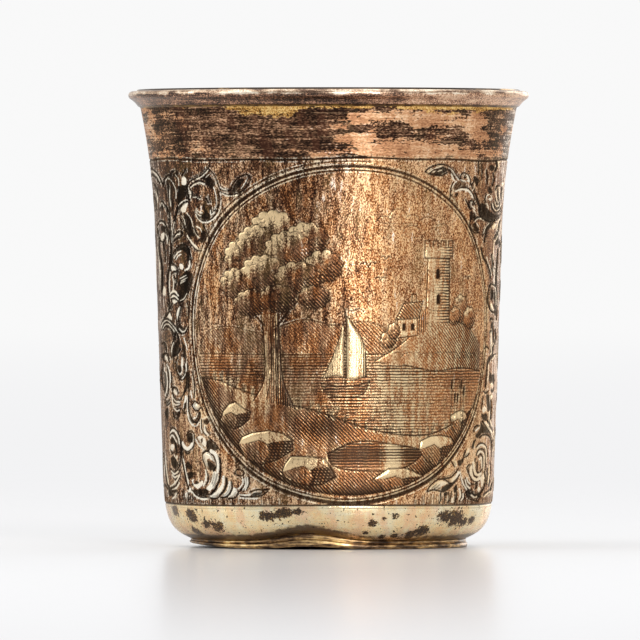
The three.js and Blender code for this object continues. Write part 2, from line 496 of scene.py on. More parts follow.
def lip_finish():
    """A painted highlight on the rounded edge, darker below it and more so on the left, and a painted shadow
    along the band's lower edge.
    """
    material, g, place = new_material("lip_silver")
    cloud = g.noise(place, 90, 3.0, 0.55) - 0.5
    bands = g.noise(place, 1100, 3.0, 0.6, (0.12, 0.12, 2.2)) - 0.5
    grit = g.noise(place, 5200, 1.0, 0.5, (0.7, 0.7, 1), (4, 4, 1)) - 0.5
    spots = g.noise(place, 520, 4.0, 0.65, (0.6, 0.6, 1.6)) - 0.5
    side = g.split(place)
    left = (side + cloud * 0.03).step(0.02, 0.004)
    low = 0.74 - 0.44 * left + bands * 1.2 + grit * 2.0 + spots * 1.2
    tarnish = shades((46, 33, 26), (94, 72, 60), (154, 113, 88), (214, 164, 128), (246, 212, 178))
    low = g.ramp(low, *tarnish)
    # Painted highlight on the rounded edge, above the height that the nose mask picks
    edge = 0.6 + bands * 1.4 + spots * 2.2 + cloud * 0.8 + grit * 0.9
    nose_highlight_tones = shades((60, 42, 32), (120, 92, 74), (206, 176, 146), (252, 240, 218))
    edge = g.ramp(edge, *nose_highlight_tones)
    nose = (side.out("Z") + spots * 0.0012 + bands * 0.0006).step(0.0788, 0.0791)
    tone = g.mix(nose, low, edge)
    # A painted shadow along the band's lower edge
    painted_lip_shadow = (side.out("Z") + spots * 0.0004 + grit * 0.0003).step(0.07725, 0.07695)
    tone = g.mix(painted_lip_shadow * 0.85, tone, SOOT_AND_SHADE)
    finish_metal(g, tone, 0.24 + 0.2 * (0.5 + bands), bands + grit, bump=0.25)
    return material


def foot_finish():
    material, g, place = new_material("worn_gilt")
    cloud = g.noise(place, 160, 3.0, 0.6) - 0.5
    bands = g.noise(place, 2200, 2.0, 0.6, (0.12, 0.12, 1.6)) - 0.5
    specks = g.noise(place, 1500, 4.0, 0.65, (0.5, 0.5, 1)) - 0.5
    gilding = shades((52, 37, 26), (106, 82, 60), (168, 134, 94), (226, 190, 128), (250, 230, 180))
    tone = g.ramp(0.42 + bands * 1.9 + specks * 1.6 + cloud * 1.2, *gilding)
    finish_metal(g, tone, 0.24 + 0.3 * (0.5 + specks), specks, bump=0.25)
    return material


def solder_finish():
    material, g, place = new_material("silver_solder")
    cloud = g.noise(place, 260, 3.0, 0.6)
    tone = g.mix(cloud.step(0.4, 0.6), srgb(150, 116, 58), UMBER)
    finish_metal(g, tone, 0.45 + 0.2 * cloud, cloud, bump=0.3)
    return material


def inside_finish():
    material, g, place = new_material("inside_silver")
    cloud = g.noise(place, 70, 4.0, 0.6)
    rings = g.noise(place, 800, 3.0, 0.6, (0.15, 0.15, 2.5))
    specks = g.noise(place, 2200, 3.0, 0.6)
    tone = g.mix(cloud.step(0.35, 0.65), srgb(206, 172, 122), srgb(152, 116, 78))
    tone = g.mix((specks + (cloud - 0.5) * 0.7).step(0.52, 0.64) * 0.85, tone, UMBER)
    # A painted dark reflection along the top of the mouth's edge
    height = g.split(place, "Z")
    tone = g.mix(height.step(0.0795, 0.0798) * (rings + (cloud - 0.5)).step(0.3, 0.45), tone, SOOT_AND_SHADE)
    finish_metal(g, tone, 0.3 + 0.25 * rings, rings, bump=0.2)
    return material


# The engraver's sheet: the cup's outside, unrolled to a grid of rows and columns


def wrapped(angle):
    return (angle + math.pi) % (2 * math.pi) - math.pi


class Sheet:
    """Height in millimetres and finish at each point of the unrolled wall."""

    ENGRAVED = ("cut", "worn", "calm", "level", "slant", "upright")
    TRACES = (*ENGRAVED, "grime", "neck", "base", "blotch", "gilt", "leafy", "silvered")

    def __init__(self):
        profile = wall_profile()
        length = along(profile)
        low = np.interp(LOWER_LINE_Z - FINE_MARGIN, profile[:, 1], length)
        high = np.interp(UPPER_LINE_Z + FINE_MARGIN, profile[:, 1], length)
        parts = ((0, low, PLAIN_ROW), (low, high, FINE_ROW), (high, length[-1], PLAIN_ROW))
        rows = [np.linspace(a, b, round((b - a) / step), endpoint=False) for a, b, step in parts]
        self.t = np.concatenate([*rows, length[-1:]])
        self.z = np.interp(self.t, length, profile[:, 1])
        self.angle = np.arange(COLUMNS) * 2 * math.pi / COLUMNS - math.pi
        shape = (len(self.t), COLUMNS)
        self.height = np.zeros(shape)
        for name in self.TRACES:
            setattr(self, name, np.zeros(shape))


class Place:
    """A spot on the sheet: arc from its middle and height, both in millimetres, mirrored by flip."""

    def __init__(self, sheet, angle, flip=1):
        self.sheet = sheet
        self.arc = flip * wrapped(sheet.angle - angle) * ROLL_RADIUS

    def window(self, low, high, pad):
        """The sheet's points round a box: their index, arc and height."""
        rows = np.flatnonzero((self.sheet.z >= low[1] - pad) & (self.sheet.z <= high[1] + pad))
        columns = np.flatnonzero((self.arc >= low[0] - pad) & (self.arc <= high[0] + pad))
        s, z = np.meshgrid(self.arc[columns], self.sheet.z[rows])
        return np.ix_(rows, columns), s, z


def smooth(points, count):
    """An even curve through the points."""
    p = np.asarray(points, float)
    knots = np.concatenate([[0], np.cumsum(np.hypot(*np.diff(p, axis=0).T) ** 0.5)])
    way = np.gradient(p, knots, axis=0)
    t = np.linspace(0, knots[-1], count)
    i = np.clip(np.searchsorted(knots, t, "right") - 1, 0, len(p) - 2)
    span = (knots[i + 1] - knots[i])[:, None]
    u = ((t - knots[i])[:, None]) / span
    h = (2 * u**3 - 3 * u**2 + 1, u**3 - 2 * u**2 + u, 3 * u**2 - 2 * u**3, u**3 - u**2)
    return h[0] * p[i] + h[1] * span * way[i] + h[2] * p[i + 1] + h[3] * span * way[i + 1]


def swelling(widths, count):
    """Half-widths along a spine, eased between the given ones."""
    t = np.linspace(0, len(widths) - 1, count)
    i = np.minimum(t.astype(int), len(widths) - 2)
    u = t - i
    u = u * u * (3 - 2 * u)
    w = np.asarray(widths, float)
    return w[i] * (1 - u) + w[i + 1] * u


def wipe(sheet, spot, mask):
    """Clears what was engraved at a spot."""
    for name in Sheet.ENGRAVED:
        getattr(sheet, name)[spot] *= 1 - mask
    sheet.height[spot] *= 1 - mask


def raise_to(field, spot, value):
    field[spot] = np.maximum(field[spot], value)


def line(place, points, width, depth, dark=1.0, burr=0.5, squeeze=1.0):
    """A cut line of a half-width in millimetres, with a worn burr on both sides.

    It is wider across where the wall is squeezed.
    """
    points = np.asarray(points, float)
    widths = np.broadcast_to(width, len(points))
    sheet = place.sheet
    for start in range(0, len(points) - 1, LINE_RUN):
        part = slice(start, start + LINE_RUN + 1)
        run, w = points[part], widths[part]
        spot, s, z = place.window(run.min(0), run.max(0), (w.max() + 0.5) / squeeze)
        if s.size == 0:
            continue
        edge = edge_distance(run * (squeeze, 1), w, s * squeeze, z)
        groove = np.clip(0.5 - edge / EDGE_SOFT, 0, 1)
        ridge = np.clip(1 - np.abs(edge - BURR_OUT) / EDGE_SOFT, 0, 1)
        height = sheet.height[spot]
        cut_down, raised = np.minimum(height, -depth * groove), height + BURR_RISE * ridge
        sheet.height[spot] = np.where(groove > 0, cut_down, raised)
        raise_to(sheet.cut, spot, dark * groove)
        raise_to(sheet.worn, spot, burr * ridge)


def edge_distance(run, widths, s, z):
    """How far points lie outside a stroke."""
    a, way = run[:-1], np.diff(run, axis=0)
    size = np.maximum((way**2).sum(1), 1e-9)
    u = ((s[..., None] - a[:, 0]) * way[:, 0] + (z[..., None] - a[:, 1]) * way[:, 1]) / size
    u = np.clip(u, 0, 1)
    d = np.hypot(s[..., None] - a[:, 0] - u * way[:, 0], z[..., None] - a[:, 1] - u * way[:, 1])
    return (d - widths[:-1] - u * np.diff(widths)).min(-1)


def region(place, points, lift, **tones):
    """Clears a closed shape on the sheet and lays tones in it: numbers, or rules of arc and height."""
    points = np.asarray(points, float)
    sheet = place.sheet
    spot, s, z = place.window(points.min(0), points.max(0), 0.3)
    if s.size == 0:
        return
    closed = round_again(points)
    a, b = closed[:-1], closed[1:]
    crosses = (a[:, 1] > z[..., None]) != (b[:, 1] > z[..., None])
    climb = np.where(np.abs(b[:, 1] - a[:, 1]) < 1e-9, 1e-9, b[:, 1] - a[:, 1])
    left = s[..., None] < a[:, 0] + (z[..., None] - a[:, 1]) * (b[:, 0] - a[:, 0]) / climb
    inside = (crosses & left).sum(-1) % 2 == 1
    edge = edge_distance(closed, np.zeros(len(closed)), s, z)
    mask = np.clip(0.5 + np.where(inside, edge, -edge) / SHAPE_SOFT, 0, 1)
    wipe(sheet, spot, mask)
    sheet.height[spot] += lift * mask * np.clip(edge / SHAPE_SLOPE, 0, 1)
    for name, tone in tones.items():
        value = tone(s, z) if callable(tone) else tone
        raise_to(getattr(sheet, name), spot, mask * np.clip(value, 0, 1))


def face_tone(face, turn):
    """How dark a leaf's face is cut: alike all over, or darker on one side of its spine."""
    if face == "left":
        return 0.45 + 0.45 * turn
    if face == "right":
        return 0.45 - 0.45 * turn
    return {"bright": 0.12, "dark": 0.85, "ringed": 0.5}[face]


def blade(place, points, widths, face, count=44):
    """A tapering leaf or scroll on a spine, with fine cuts along it and a cut outline."""
    sheet = place.sheet
    spine = smooth(points, count)
    half = swelling(widths, count)
    spot, s, z = place.window(spine.min(0), spine.max(0), half.max() + 0.6)
    if s.size == 0:
        return
    d = np.hypot(s[..., None] - spine[:, 0], z[..., None] - spine[:, 1])
    gap = d - half
    near = gap.argmin(-1)
    edge = np.take_along_axis(gap, near[..., None], -1)[..., 0]
    within = np.clip(0.5 - edge / EDGE_SOFT, 0, 1)
    wipe(sheet, spot, within)
    way = np.gradient(spine, axis=0)[near]
    side = way[..., 0] * (z - spine[near, 1]) - way[..., 1] * (s - spine[near, 0])
    share = np.clip(1 + edge / np.maximum(half[near], 0.05), 0, 1)
    sheet.height[spot] += within * LEAF_RISE * np.sqrt(np.clip(1 - share**2, 0, 1))
    veins = 0.5 + 0.5 * np.cos(2 * math.pi * share * max(1, round(half.max() / VEIN_PITCH)))
    tone = face_tone(face, np.clip(np.sign(side) * share * 4, -1, 1))
    raise_to(sheet.cut, spot, within * np.clip(tone + 0.9 * (0.5 - veins), 0, 1))
    raise_to(sheet.worn, spot, within * np.clip((1.25 - tone) * (1.4 * veins - 0.2), 0, 1))
    groove = np.clip(1.2 - np.abs(edge) / 0.11, 0, 1)
    ridge = np.clip(1 - np.abs(edge - 0.3) / 0.16, 0, 1)
    sheet.height[spot] += BURR_RISE * ridge - 0.1 * groove
    raise_to(sheet.cut, spot, groove)
    raise_to(sheet.worn, spot, 0.9 * ridge * (1 - groove))


def curl(place, centre, outer, inner, start, turns, widths, face):
    """A volute that winds in from its outer radius."""
    t = np.linspace(0, 1, 30)
    a = math.radians(start) + 2 * math.pi * turns * t
    r = outer + (inner - outer) * t
    points = np.column_stack([centre[0] + r * np.cos(a), centre[1] + r * np.sin(a)])
    blade(place, points, widths, face, count=60)


def shell(place, centre, radii, start, end, width):
    """Nested arcs, bright and dark by turns."""
    for i, radius in enumerate(radii):
        points = arc(centre, radius, start, end, 9)
        blade(place, points, (0.08, width, 0.08), "bright" if i % 2 == 0 else "dark")


def drop(place, top, bottom, width):
    """A hanging drop, pointed above and round below."""
    top, bottom = np.asarray(top, float), np.asarray(bottom, float)
    points = [top + (bottom - top) * t for t in (0, 0.35, 0.7, 0.86)]
    blade(place, points, (0.05, 0.45 * width, width, width * 0.8), "ringed")


def seen(points):
    """Points as they show from the front, in millimetres on the plane of the axis, laid on the wall."""
    x, z = np.asarray(points, float).T
    eye = (TABLE_PIXEL - EYE_PIXEL) / PIXELS_PER_MM
    depth = 0
    for _ in range(5):
        nearer = 1 - depth / EYE_DISTANCE
        level = eye + (z - eye) * nearer
        turn = np.arcsin(np.clip(x * nearer / wall_radius(level), -0.998, 0.998))
        depth = wall_radius(level) * np.cos(turn)
    return np.column_stack([turn * ROLL_RADIUS, level])


class Pen:
    """Draws on the wall as it shows from the front. Strokes are broader round the sides, as they show there.

    A stroke or an outline is x, z, x, z and so on from the pen's middle, in tenths of a millimetre.
    """

    CUT = {"depth": 0.12, "burr": 0.38}
    ECHO = {"width": 0.065, "depth": 0.06, "dark": 0.9, "burr": 0.35}
    ECHO_IN = 0.5  # from a cut to the finer one inside its bend
    GLEAM_SOFT = 0.12  # over which a gleam's edge fades
    GLEAM_RISE = 0.05
    DARK_SINK = 0.05
    LIGHT_RISE = 0.06

    def __init__(self, place, middle=(0, 0)):
        self.place, self.middle = place, middle

    def at(self, x, z):
        """A pen with its own middle: tenths of a millimetre right of the axis and above the table."""
        return Pen(self.place, (x, z))

    def points(self, stroke):
        return (np.reshape(stroke, (-1, 2)) + self.middle) / 10

    def lay(self, stroke, inside=0.0):
        """A stroke on the wall, or one that runs inside its bend, and how much it is squeezed there."""
        points = self.points(stroke)
        run = smooth(points, 7 * len(points))
        if inside:
            middle = run[len(run) // 2]
            first, last = middle - run[0], run[-1] - middle
            bend = 1 if first[0] * last[1] >= first[1] * last[0] else -1
            slant = math.sqrt(max(0.1, 1 - (run[:, 0].mean() / NECK_RADIUS) ** 2))
            trim = len(run) // 6
            run = left_of(run, bend * inside * slant)[trim:-trim]
        run = seen(run)
        return run, np.clip(1.4 * np.cos(run[:, 0].mean() / ROLL_RADIUS), 0.26, 1)

    def cut(self, *strokes, width=0.16):
        """Cuts, each with a finer one inside its bend."""
        for stroke in strokes:
            run, squeeze = self.lay(stroke)
            line(self.place, run, width, squeeze=squeeze, **self.CUT)
            echo, squeeze = self.lay(stroke, self.ECHO_IN)
            line(self.place, echo, squeeze=squeeze, **self.ECHO)

    def gleam(self, *strokes, width=0.085):
        """Bright-cut strokes that stand a little proud, broader low on the wall."""
        sheet = self.place.sheet
        for stroke in strokes:
            run, squeeze = self.lay(stroke)
            spot, s, z = self.place.window(run.min(0), run.max(0), 0.4 / squeeze)
            if s.size == 0:
                continue
            widths = np.full(len(run), width * (1 + 0.7 * fade(run[:, 1].mean(), 18, 40)))
            edge = edge_distance(run * (squeeze, 1), widths, s * squeeze, z)
            mask = np.clip(0.5 - edge / self.GLEAM_SOFT, 0, 1)
            sheet.cut[spot] *= 1 - mask
            sheet.height[spot] = np.maximum(sheet.height[spot], self.GLEAM_RISE * mask)
            raise_to(sheet.worn, spot, mask)

    def shape(self, outline, lift, **tones):
        points = self.points(outline)
        closed = smooth([*points, points[0]], 6 * len(points))
        region(self.place, seen(closed[:-1]), lift, **tones)

    def dark(self, *outlines, tone=0.95):
        for outline in outlines:
            self.shape(outline, -self.DARK_SINK, cut=tone)

    def light(self, *outlines):
        for outline in outlines:
            self.shape(outline, self.LIGHT_RISE, worn=1.0)


# Foliage left of the front roundel, from the upper line down


def left_side_leaf(pen):
    """Leaf at the side."""
    pen = pen.at(-295, 614)
    pen.cut(
        (-16, 49, -7, 42, 0, 31, 4, 21), (-15, 38, -7, 33, -1, 23), (-12, 23, -6, 14, -4, 0),
        (-11, 3, -7, -9, -7, -25),
    )
    pen.gleam((-14, 44, -5, 36, 0, 26))
    pen.dark((2, -14, 5, -13, 6, -21, 3, -26))
    pen.cut((0, -26, 3, -9, 10, -19, 16, -32, 17, -49))
    pen.gleam((1, -18, 3, -12, 7, -18), (-9, 10, -5, 0, -4, -11))


def left_side_border(pen):
    """Border along the side."""
    pen = pen.at(-287, 311)
    pen.cut((-10, 223, -8, 203, -5, 183, -4, 159, -5, 135), width=0.2)
    pen.gleam((-12, 213, -10, 193, -8, 163, -8, 139))
    pen.cut((-2, 219, 1, 205, 1, 188))
    pen.light((-1, 146, 2, 139, 0, 128, -3, 131))
    pen.cut((-3, 7, -5, -9, -3, -29, 3, -45), width=0.2)
    pen.gleam((0, 2, 1, -16, 2, -34))
    pen.dark((2, -67, 7, -74, 5, -90, 1, -82))
    pen.cut((-1, -148, 1, -173, 4, -196, 7, -208), width=0.2)
    pen.gleam((2, -160, 4, -181, 7, -201))
    pen.dark((6, -202, 11, -208, 12, -222, 7, -222))


def tall_leaf(pen):
    pen = pen.at(-269, 600)
    pen.dark(
        (-17, 42, -12, 49, -5, 49, 1, 38, 4, 24, 3, 9, -2, -7, -7, -18, -12, -4, -16, 14, -18, 28),
        tone=0.6,
    )
    pen.cut((-20, 31, -18, 44, -13, 50, -7, 50), (-9, 49, -4, 57, 1, 58, 5, 54))
    pen.dark((-3, 54, 2, 56, 5, 51, 3, 45, -2, 47))
    pen.cut((-12, 35, -11, 17, -9, 0))
    pen.gleam((1, 51, 6, 44, 7, 33, 5, 21), (-7, 42, -2, 34, 2, 23, 2, 10), (-16, 40, -14, 44, -9, 44))
    pen.gleam((-9, 24, -9, 10, -7, -4), width=0.08)
    pen.cut((-16, -2, -10, -16, -8, -35, -8, -60))
    pen.dark((6, 31, 14, 33, 21, 31, 19, 21, 19, 13, 13, 7, 7, -3, 3, 3, 5, 17))
    pen.cut((12, 49, 16, 56, 19, 61))
    pen.light((12, 47, 19, 46, 19, 34, 13, 33))


def ring_scroll(pen):
    """Open ring scroll with a scalloped back."""
    pen = pen.at(-219, 618)
    pen.dark((-5, 28, 5, 33, 14, 28, 21, 17, 18, 11, 11, 9, 6, 17, 0, 24))
    pen.cut((-29, 13, -23, 22, -13, 27, -5, 31, 2, 37, 7, 43, 11, 51))
    pen.gleam((-13, 25, -4, 29, 3, 35, 8, 41))
    pen.cut((-24, 12, -17, 19, -8, 22, 1, 20, 8, 14))
    pen.gleam((-22, 11, -15, 16, -6, 19, 2, 16))
    pen.cut((8, 43, 16, 36, 22, 25, 25, 17))
    pen.gleam((4, 28, 8, 32, 11, 34), width=0.08)
    pen.cut(
        (-28, 12, -31, 7, -27, 5), (-27, 5, -31, 0, -26, -3), (-26, -3, -29, -8, -24, -11),
        (-23, 8, -20, 1, -21, -8),
    )
    pen.gleam((-25, 7, -23, 0, -23, -8), (18, 11, 21, 1, 23, -11, 22, -23, 20, -28))
    pen.cut((24, 8, 27, -6, 26, -22, 23, -32, 16, -42, 6, -48, -3, -47, -10, -40, -13, -32))
    pen.gleam((30, 3, 31, -11, 30, -25, 25, -36, 17, -45, 7, -50, -1, -50, -9, -44, -13, -37))
    pen.dark(
        (-3, -16, 2, -22, 5, -30, 11, -36, 11, -44, 5, -46, -3, -44, -9, -38, -5, -35, 1, -35, -1, -26),
        (-13, -24, -10, -21, -8, -23, -10, -26),
    )
    pen.gleam((-12, -26, -9, -31, -2, -34))
    pen.gleam((-13, -32, -9, -37, -4, -39), width=0.08)
    pen.cut((13, -22, 15, -35, 21, -28))
    pen.gleam((12, -29, 14, -37, 19, -32))
    pen.cut((-22, -2, -14, -5, -5, -8))
    pen.gleam((-18, -6, -11, -7, -5, -10))
    pen.cut((4, -8, 9, -16), (9, -5, 12, -15))


def frame_tendril(pen):
    """Tendril and leaf along the frame."""
    pen = pen.at(-166, 632)
    pen.cut((-28, 3, -25, -3, -19, -8, -12, -9, -6, -8))
    pen.gleam((-24, -3, -19, -6, -12, -8), width=0.08)
    pen.cut((-24, -10, -17, -14, -7, -16, 6, -15, 15, -9))
    pen.gleam((-21, -13, -14, -17, -3, -18, 9, -16))
    pen.dark((-4, -8, 0, 1, 7, 9, 15, 12, 19, 11, 14, 3, 8, -5, 1, -12, -4, -13))
    pen.cut(
        (-6, -9, -2, 2, 5, 11, 14, 17, 23, 19, 29, 16), (29, 16, 28, 8, 22, -2, 15, -9, 6, -14, -5, -15),
    )
    pen.gleam((13, -5, 19, 3, 22, 9, 25, 14))


def second_scroll(pen):
    """Second scroll: a bright leaf, and a dark one that hangs to the frame."""
    pen = pen.at(-239, 562)
    pen.light((-18, 33, -13, 39, -8, 39, -10, 30, -13, 23, -20, 27))
    pen.cut((-28, 17, -24, 28, -18, 37, -11, 42, -7, 42))
    pen.gleam((-25, 31, -21, 38, -15, 43, -8, 45))
    pen.dark((-14, 22, -8, 19, -2, 11, 0, -1, 2, -10, 6, -17, -1, -19, -8, -10, -11, 1, -13, 12))
    pen.cut((-19, 21, -14, 8, -11, -7, -4, -20))
    pen.gleam((-9, 22, -2, 12, 2, -1, 5, -12, 11, -20, 16, -23))
    pen.cut((-21, 12, -16, 3, -13, -9))
    pen.gleam((-18, 17, -14, 11, -12, 1), width=0.08)
    pen.cut((-7, -23, 0, -34, 9, -43, 16, -44))
    pen.gleam((-8, -18, -3, -26, 4, -35, 10, -41), width=0.17)
    pen.dark((15, -12, 20, -8, 25, -14, 26, -23, 21, -30, 14, -29, 9, -25, 16, -20))
    pen.cut((20, 0, 24, -9, 28, -18), (2, -5, 6, -9, 10, -16))
    pen.gleam((7, -1, 15, -6, 17, -11))


def left_stem(pen):
    pen = pen.at(-273, 505)
    pen.cut((9, 89, 5, 74, 1, 53, -2, 32, -3, 7, -6, -17, -9, -38, -8, -56, -6, -73, -6, -89), width=0.22)
    pen.gleam((3, 63, 0, 46, -1, 27), (-4, -24, -5, -42, -5, -59))


def side_oval(pen):
    """Oval by the side."""
    pen = pen.at(-278, 550)
    pen.dark((-16, 10, -9, 13, -7, 5, -10, -1, -14, 3))
    pen.light((-15, -3, -10, 0, -10, -8, -14, -16, -15, -11))
    pen.cut(
        (-21, 13, -17, 20, -11, 19, -6, 11, -5, 1, -7, -11, -12, -17, -16, -15),
        (-21, 6, -20, -6, -17, -15), (-3, 3, -1, -7, -3, -18),
    )
    pen.gleam((-7, -3, -4, -11, -4, -20), (-17, 16, -13, 17, -8, 11))
    pen.cut((7, -8, 13, 0, 19, 2, 22, -1, 18, -8, 11, -11, 7, -15))
    pen.gleam((10, -7, 14, -3, 18, -3), width=0.08)


def round_scroll(pen):
    pen = pen.at(-259, 503)
    pen.dark((-9, 13, -4, 22, 4, 24, 11, 21, 15, 10, 16, -3, 13, -5, 10, 9, 4, 15, -2, 15))
    pen.cut((-16, -7, -14, 4, -10, 15, -3, 23, 5, 26, 12, 22, 16, 10, 18, -3, 16, -14, 10, -21))
    pen.gleam((-11, 2, -5, 11, 1, 15))
    pen.gleam((-8, -1, -4, 6, 1, 9), width=0.08)
    pen.gleam((16, -4, 16, -12, 13, -17, 8, -19), width=0.17)
    pen.light((-2, -8, 2, -8, 5, -14, 3, -18, -1, -16), (-17, -11, -12, -12, -9, -18, -15, -19))
    pen.cut((-15, -25, -11, -21, -5, -23), (-15, -7, -10, -11, -5, -18, -5, -24))


def dark_leaf_with_arcs(pen):
    """Dark leaf under it, and its nested arcs."""
    pen = pen.at(-257, 453)
    pen.dark((-1, 22, 7, 28, 16, 28, 20, 21, 17, 7, 11, -7, 3, -19, -7, -20, -10, -13, -3, -4, -5, 8))
    pen.gleam((-3, 16, 8, 22), (-1, 12, 10, 18), (-2, 8, 7, 13))
    pen.cut((-14, 21, -10, 12, -12, 0))
    pen.gleam((-16, 19, -14, 8, -15, -2))
    pen.cut((-18, -13, -15, -10, -10, -12, -6, -17), (-18, -20, -14, -18, -10, -20, -7, -23))
    pen.gleam((-19, -10, -15, -6, -10, -8, -6, -14), width=0.17)
    pen.gleam((-18, -17, -15, -14, -10, -16, -6, -20), width=0.15)
    pen.light((-16, -22, -12, -21, -8, -24, -12, -27, -16, -25))
    pen.cut((-7, -27, 2, -22, 9, -13, 14, 0, 17, 14))
    pen.gleam((-3, -23, 4, -19, 9, -10))


def streak_and_waves(pen):
    """Streak, curl and waves."""
    pen = pen.at(-270, 393)
    pen.light((5, 5, 4, 15, 7, 24, 10, 28, 9, 18, 6, 7))
    pen.cut((12, 29, 9, 18, 7, 5, 10, -5), (22, 37, 24, 21, 23, 0))
    pen.dark((7, 1, 12, -7, 19, -10, 20, -14, 13, -16, 8, -9))
    pen.cut((4, 2, 6, -9, 14, -20, 21, -16, 24, -9))
    pen.gleam((9, -12, 15, -17, 20, -14, 22, -9))
    pen.cut(
        (-24, -7, -21, 1, -15, 6, -8, 3, -1, -5, 7, -16, 12, -21),
        (-22, -14, -19, -4, -13, 0, -6, -5, 1, -14, 6, -24, 9, -37),
        (-19, -13, -15, -7, -9, -9, -2, -18, 2, -30),
    )
    pen.gleam(
        (-22, -9, -19, -1, -14, 3, -7, -1, 0, -9, 6, -18), (-20, -12, -16, -5, -12, -3, -6, -8, 0, -16),
    )
    pen.light((-10, 19, -6, 13, -4, 4, -9, 6, -12, 11))
    pen.cut((-19, 6, -13, 12, -9, 19), (-12, 33, -6, 23), (-4, 33, -10, 22))


def hanging_drop(pen):
    pen = pen.at(-262, 332)
    pen.dark(
        (-13, -2, -11, 12, -7, 24, 0, 30, 0, 12, -4, 4, -9, -1),
        (4, 28, 8, 24, 12, 12, 13, -4, 9, 2, 6, 14),
    )
    pen.cut((-6, 40, -9, 29, -13, 16, -14, -2))
    pen.gleam((-9, 25, -12, 17, -13, 9), (9, 33, 12, 23, 15, 12))
    pen.cut((-9, 1, -3, 5, 2, 14))
    pen.light((5, 2, 7, -5, 7, -16, 5, -27, 2, -33, -1, -28, 3, -19, 4, -9))
    pen.dark((-2, -16, 2, -14, 5, -21, 3, -28, -1, -26))
    pen.cut(
        (-2, 1, -5, -9, -5, -21, -1, -32, 4, -36, 9, -31, 11, -19, 11, -5, 7, 4),
        (15, -12, 15, -25, 11, -36, 4, -40, -2, -36),
    )
    pen.gleam((12, -12, 13, -23, 10, -33, 6, -38))


def long_side_oval(pen):
    """Curl and long oval by the side."""
    pen = pen.at(-285, 289)
    pen.dark((-8, 41, -7, 47, -3, 50, 0, 44, -4, 40))
    pen.cut((-7, 66, -3, 68, 0, 62, 1, 53), (-3, 49, 2, 49, 5, 42, 6, 34))
    pen.light((-1, 46, 2, 43, 4, 35, 1, 38, -2, 43))
    pen.cut((-5, 39, 1, 32, 4, 22, 5, 6, 5, -10, 4, -22, 0, -30), (-4, 18, -1, 13, 0, -3, -1, -17))
    pen.gleam((2, 30, 6, 20, 8, 4, 7, -11), (1, 17, 3, 1, 2, -15, -1, -25))
    pen.cut((-1, -32, 2, -37, 6, -32), (-2, -36, 2, -42, 7, -37))
    pen.dark((0, -48, 4, -46, 5, -57, 2, -67, 0, -59))


def stacked_leaves(pen):
    pen = pen.at(-260, 265)
    pen.dark((10, 41, 16, 42, 17, 23, 12, 9, 6, -1, 0, -12, -3, -15, 3, -1, 9, 16))
    pen.cut((-16, 39, -15, 23, -14, 9, -12, 0, -9, -5))
    pen.light((-12, 7, -9, 10, -6, 6, -5, 0, -9, 2))
    pen.cut(
        (-13, 9, -11, 14, -6, 11, -4, 3), (-12, -1, -8, -8, -3, -10, 2, -7), (-12, -8, -7, -14, -1, -14),
        (-10, -16, -5, -19, 1, -17), (-11, -21, -5, -25, 1, -23),
    )
    pen.gleam((-12, -5, -7, -11, -1, -12), (-13, -12, -8, -17, -1, -16), (-10, -23, -5, -28, -1, -26))
    pen.dark((-10, -29, -4, -30, -4, -36, -7, -36, -9, -32))
    pen.cut((-12, -30, -10, -38, -6, -42, -3, -37, -1, -29))
    pen.gleam((-14, -1, -13, -12, -11, -21))
    pen.gleam((10, -3, 9, -12, 7, -21), width=0.17)
    pen.dark((8, -14, 11, -12, 11, -22, 8, -28, 7, -22))
    pen.cut((3, -25, 7, -31, 10, -32))


def lozenge_loop(pen):
    """Loop with a bright lozenge."""
    pen = pen.at(-236, 258)
    pen.dark((-10, -26, -7, -31, -2, -37, 4, -39, 0, -43, -7, -39, -11, -33))
    pen.cut((-9, 25, -9, 2, -9, -15, -6, -29, -1, -38, 5, -41, 10, -34, 11, -24), width=0.22)
    pen.gleam((-11, 2, -11, -19, -8, -36, -2, -45, 4, -47, 10, -40))
    pen.cut((4, -35, 8, -29, 9, -23))
    pen.gleam((7, -25, 5, -31, 0, -34))
    pen.light((2, -6, 10, -11, 10, -15, 5, -19, -2, -12))
    pen.cut((-4, -12, 1, -4, 7, -8), (-4, -12, 2, -19, 6, -21, 11, -15), (-4, 48, 0, 32, 1, 16, 0, 2))
    pen.gleam((-5, 14, -3, 2))


def scroll_head(pen):
    """Small leaf, and the scroll's head with its eye."""
    pen = pen.at(-212, 197)
    pen.dark((-8, 24, -1, 26, 4, 23, 0, 17, -6, 18))
    pen.gleam((-10, 26, -4, 28, 0, 30, 2, 28))
    pen.cut((-10, 25, -10, 11, -7, 3, -2, -3))
    pen.gleam((-12, 23, -12, 12, -10, 2))
    pen.cut((-3, 12, 0, 4, 5, -2))
    pen.gleam((-5, 14, -4, 5, 2, -2))
    pen.light((-18, -6, -12, -2, -7, -6, -3, -12, -2, -17, -4, -22, -10, -17, -14, -12))
    pen.dark(
        (-12, -10, -9, -7, -8, -12, -10, -16),
        (-2, -13, 3, -10, 10, -16, 19, -27, 11, -30, 1, -29, -2, -23),
    )
    pen.cut((-19, -5, -17, -14, -10, -23, -3, -30))
    pen.gleam((-20, -10, -14, -20, -6, -28))
    pen.cut((1, -6, 10, -14, 21, -27))


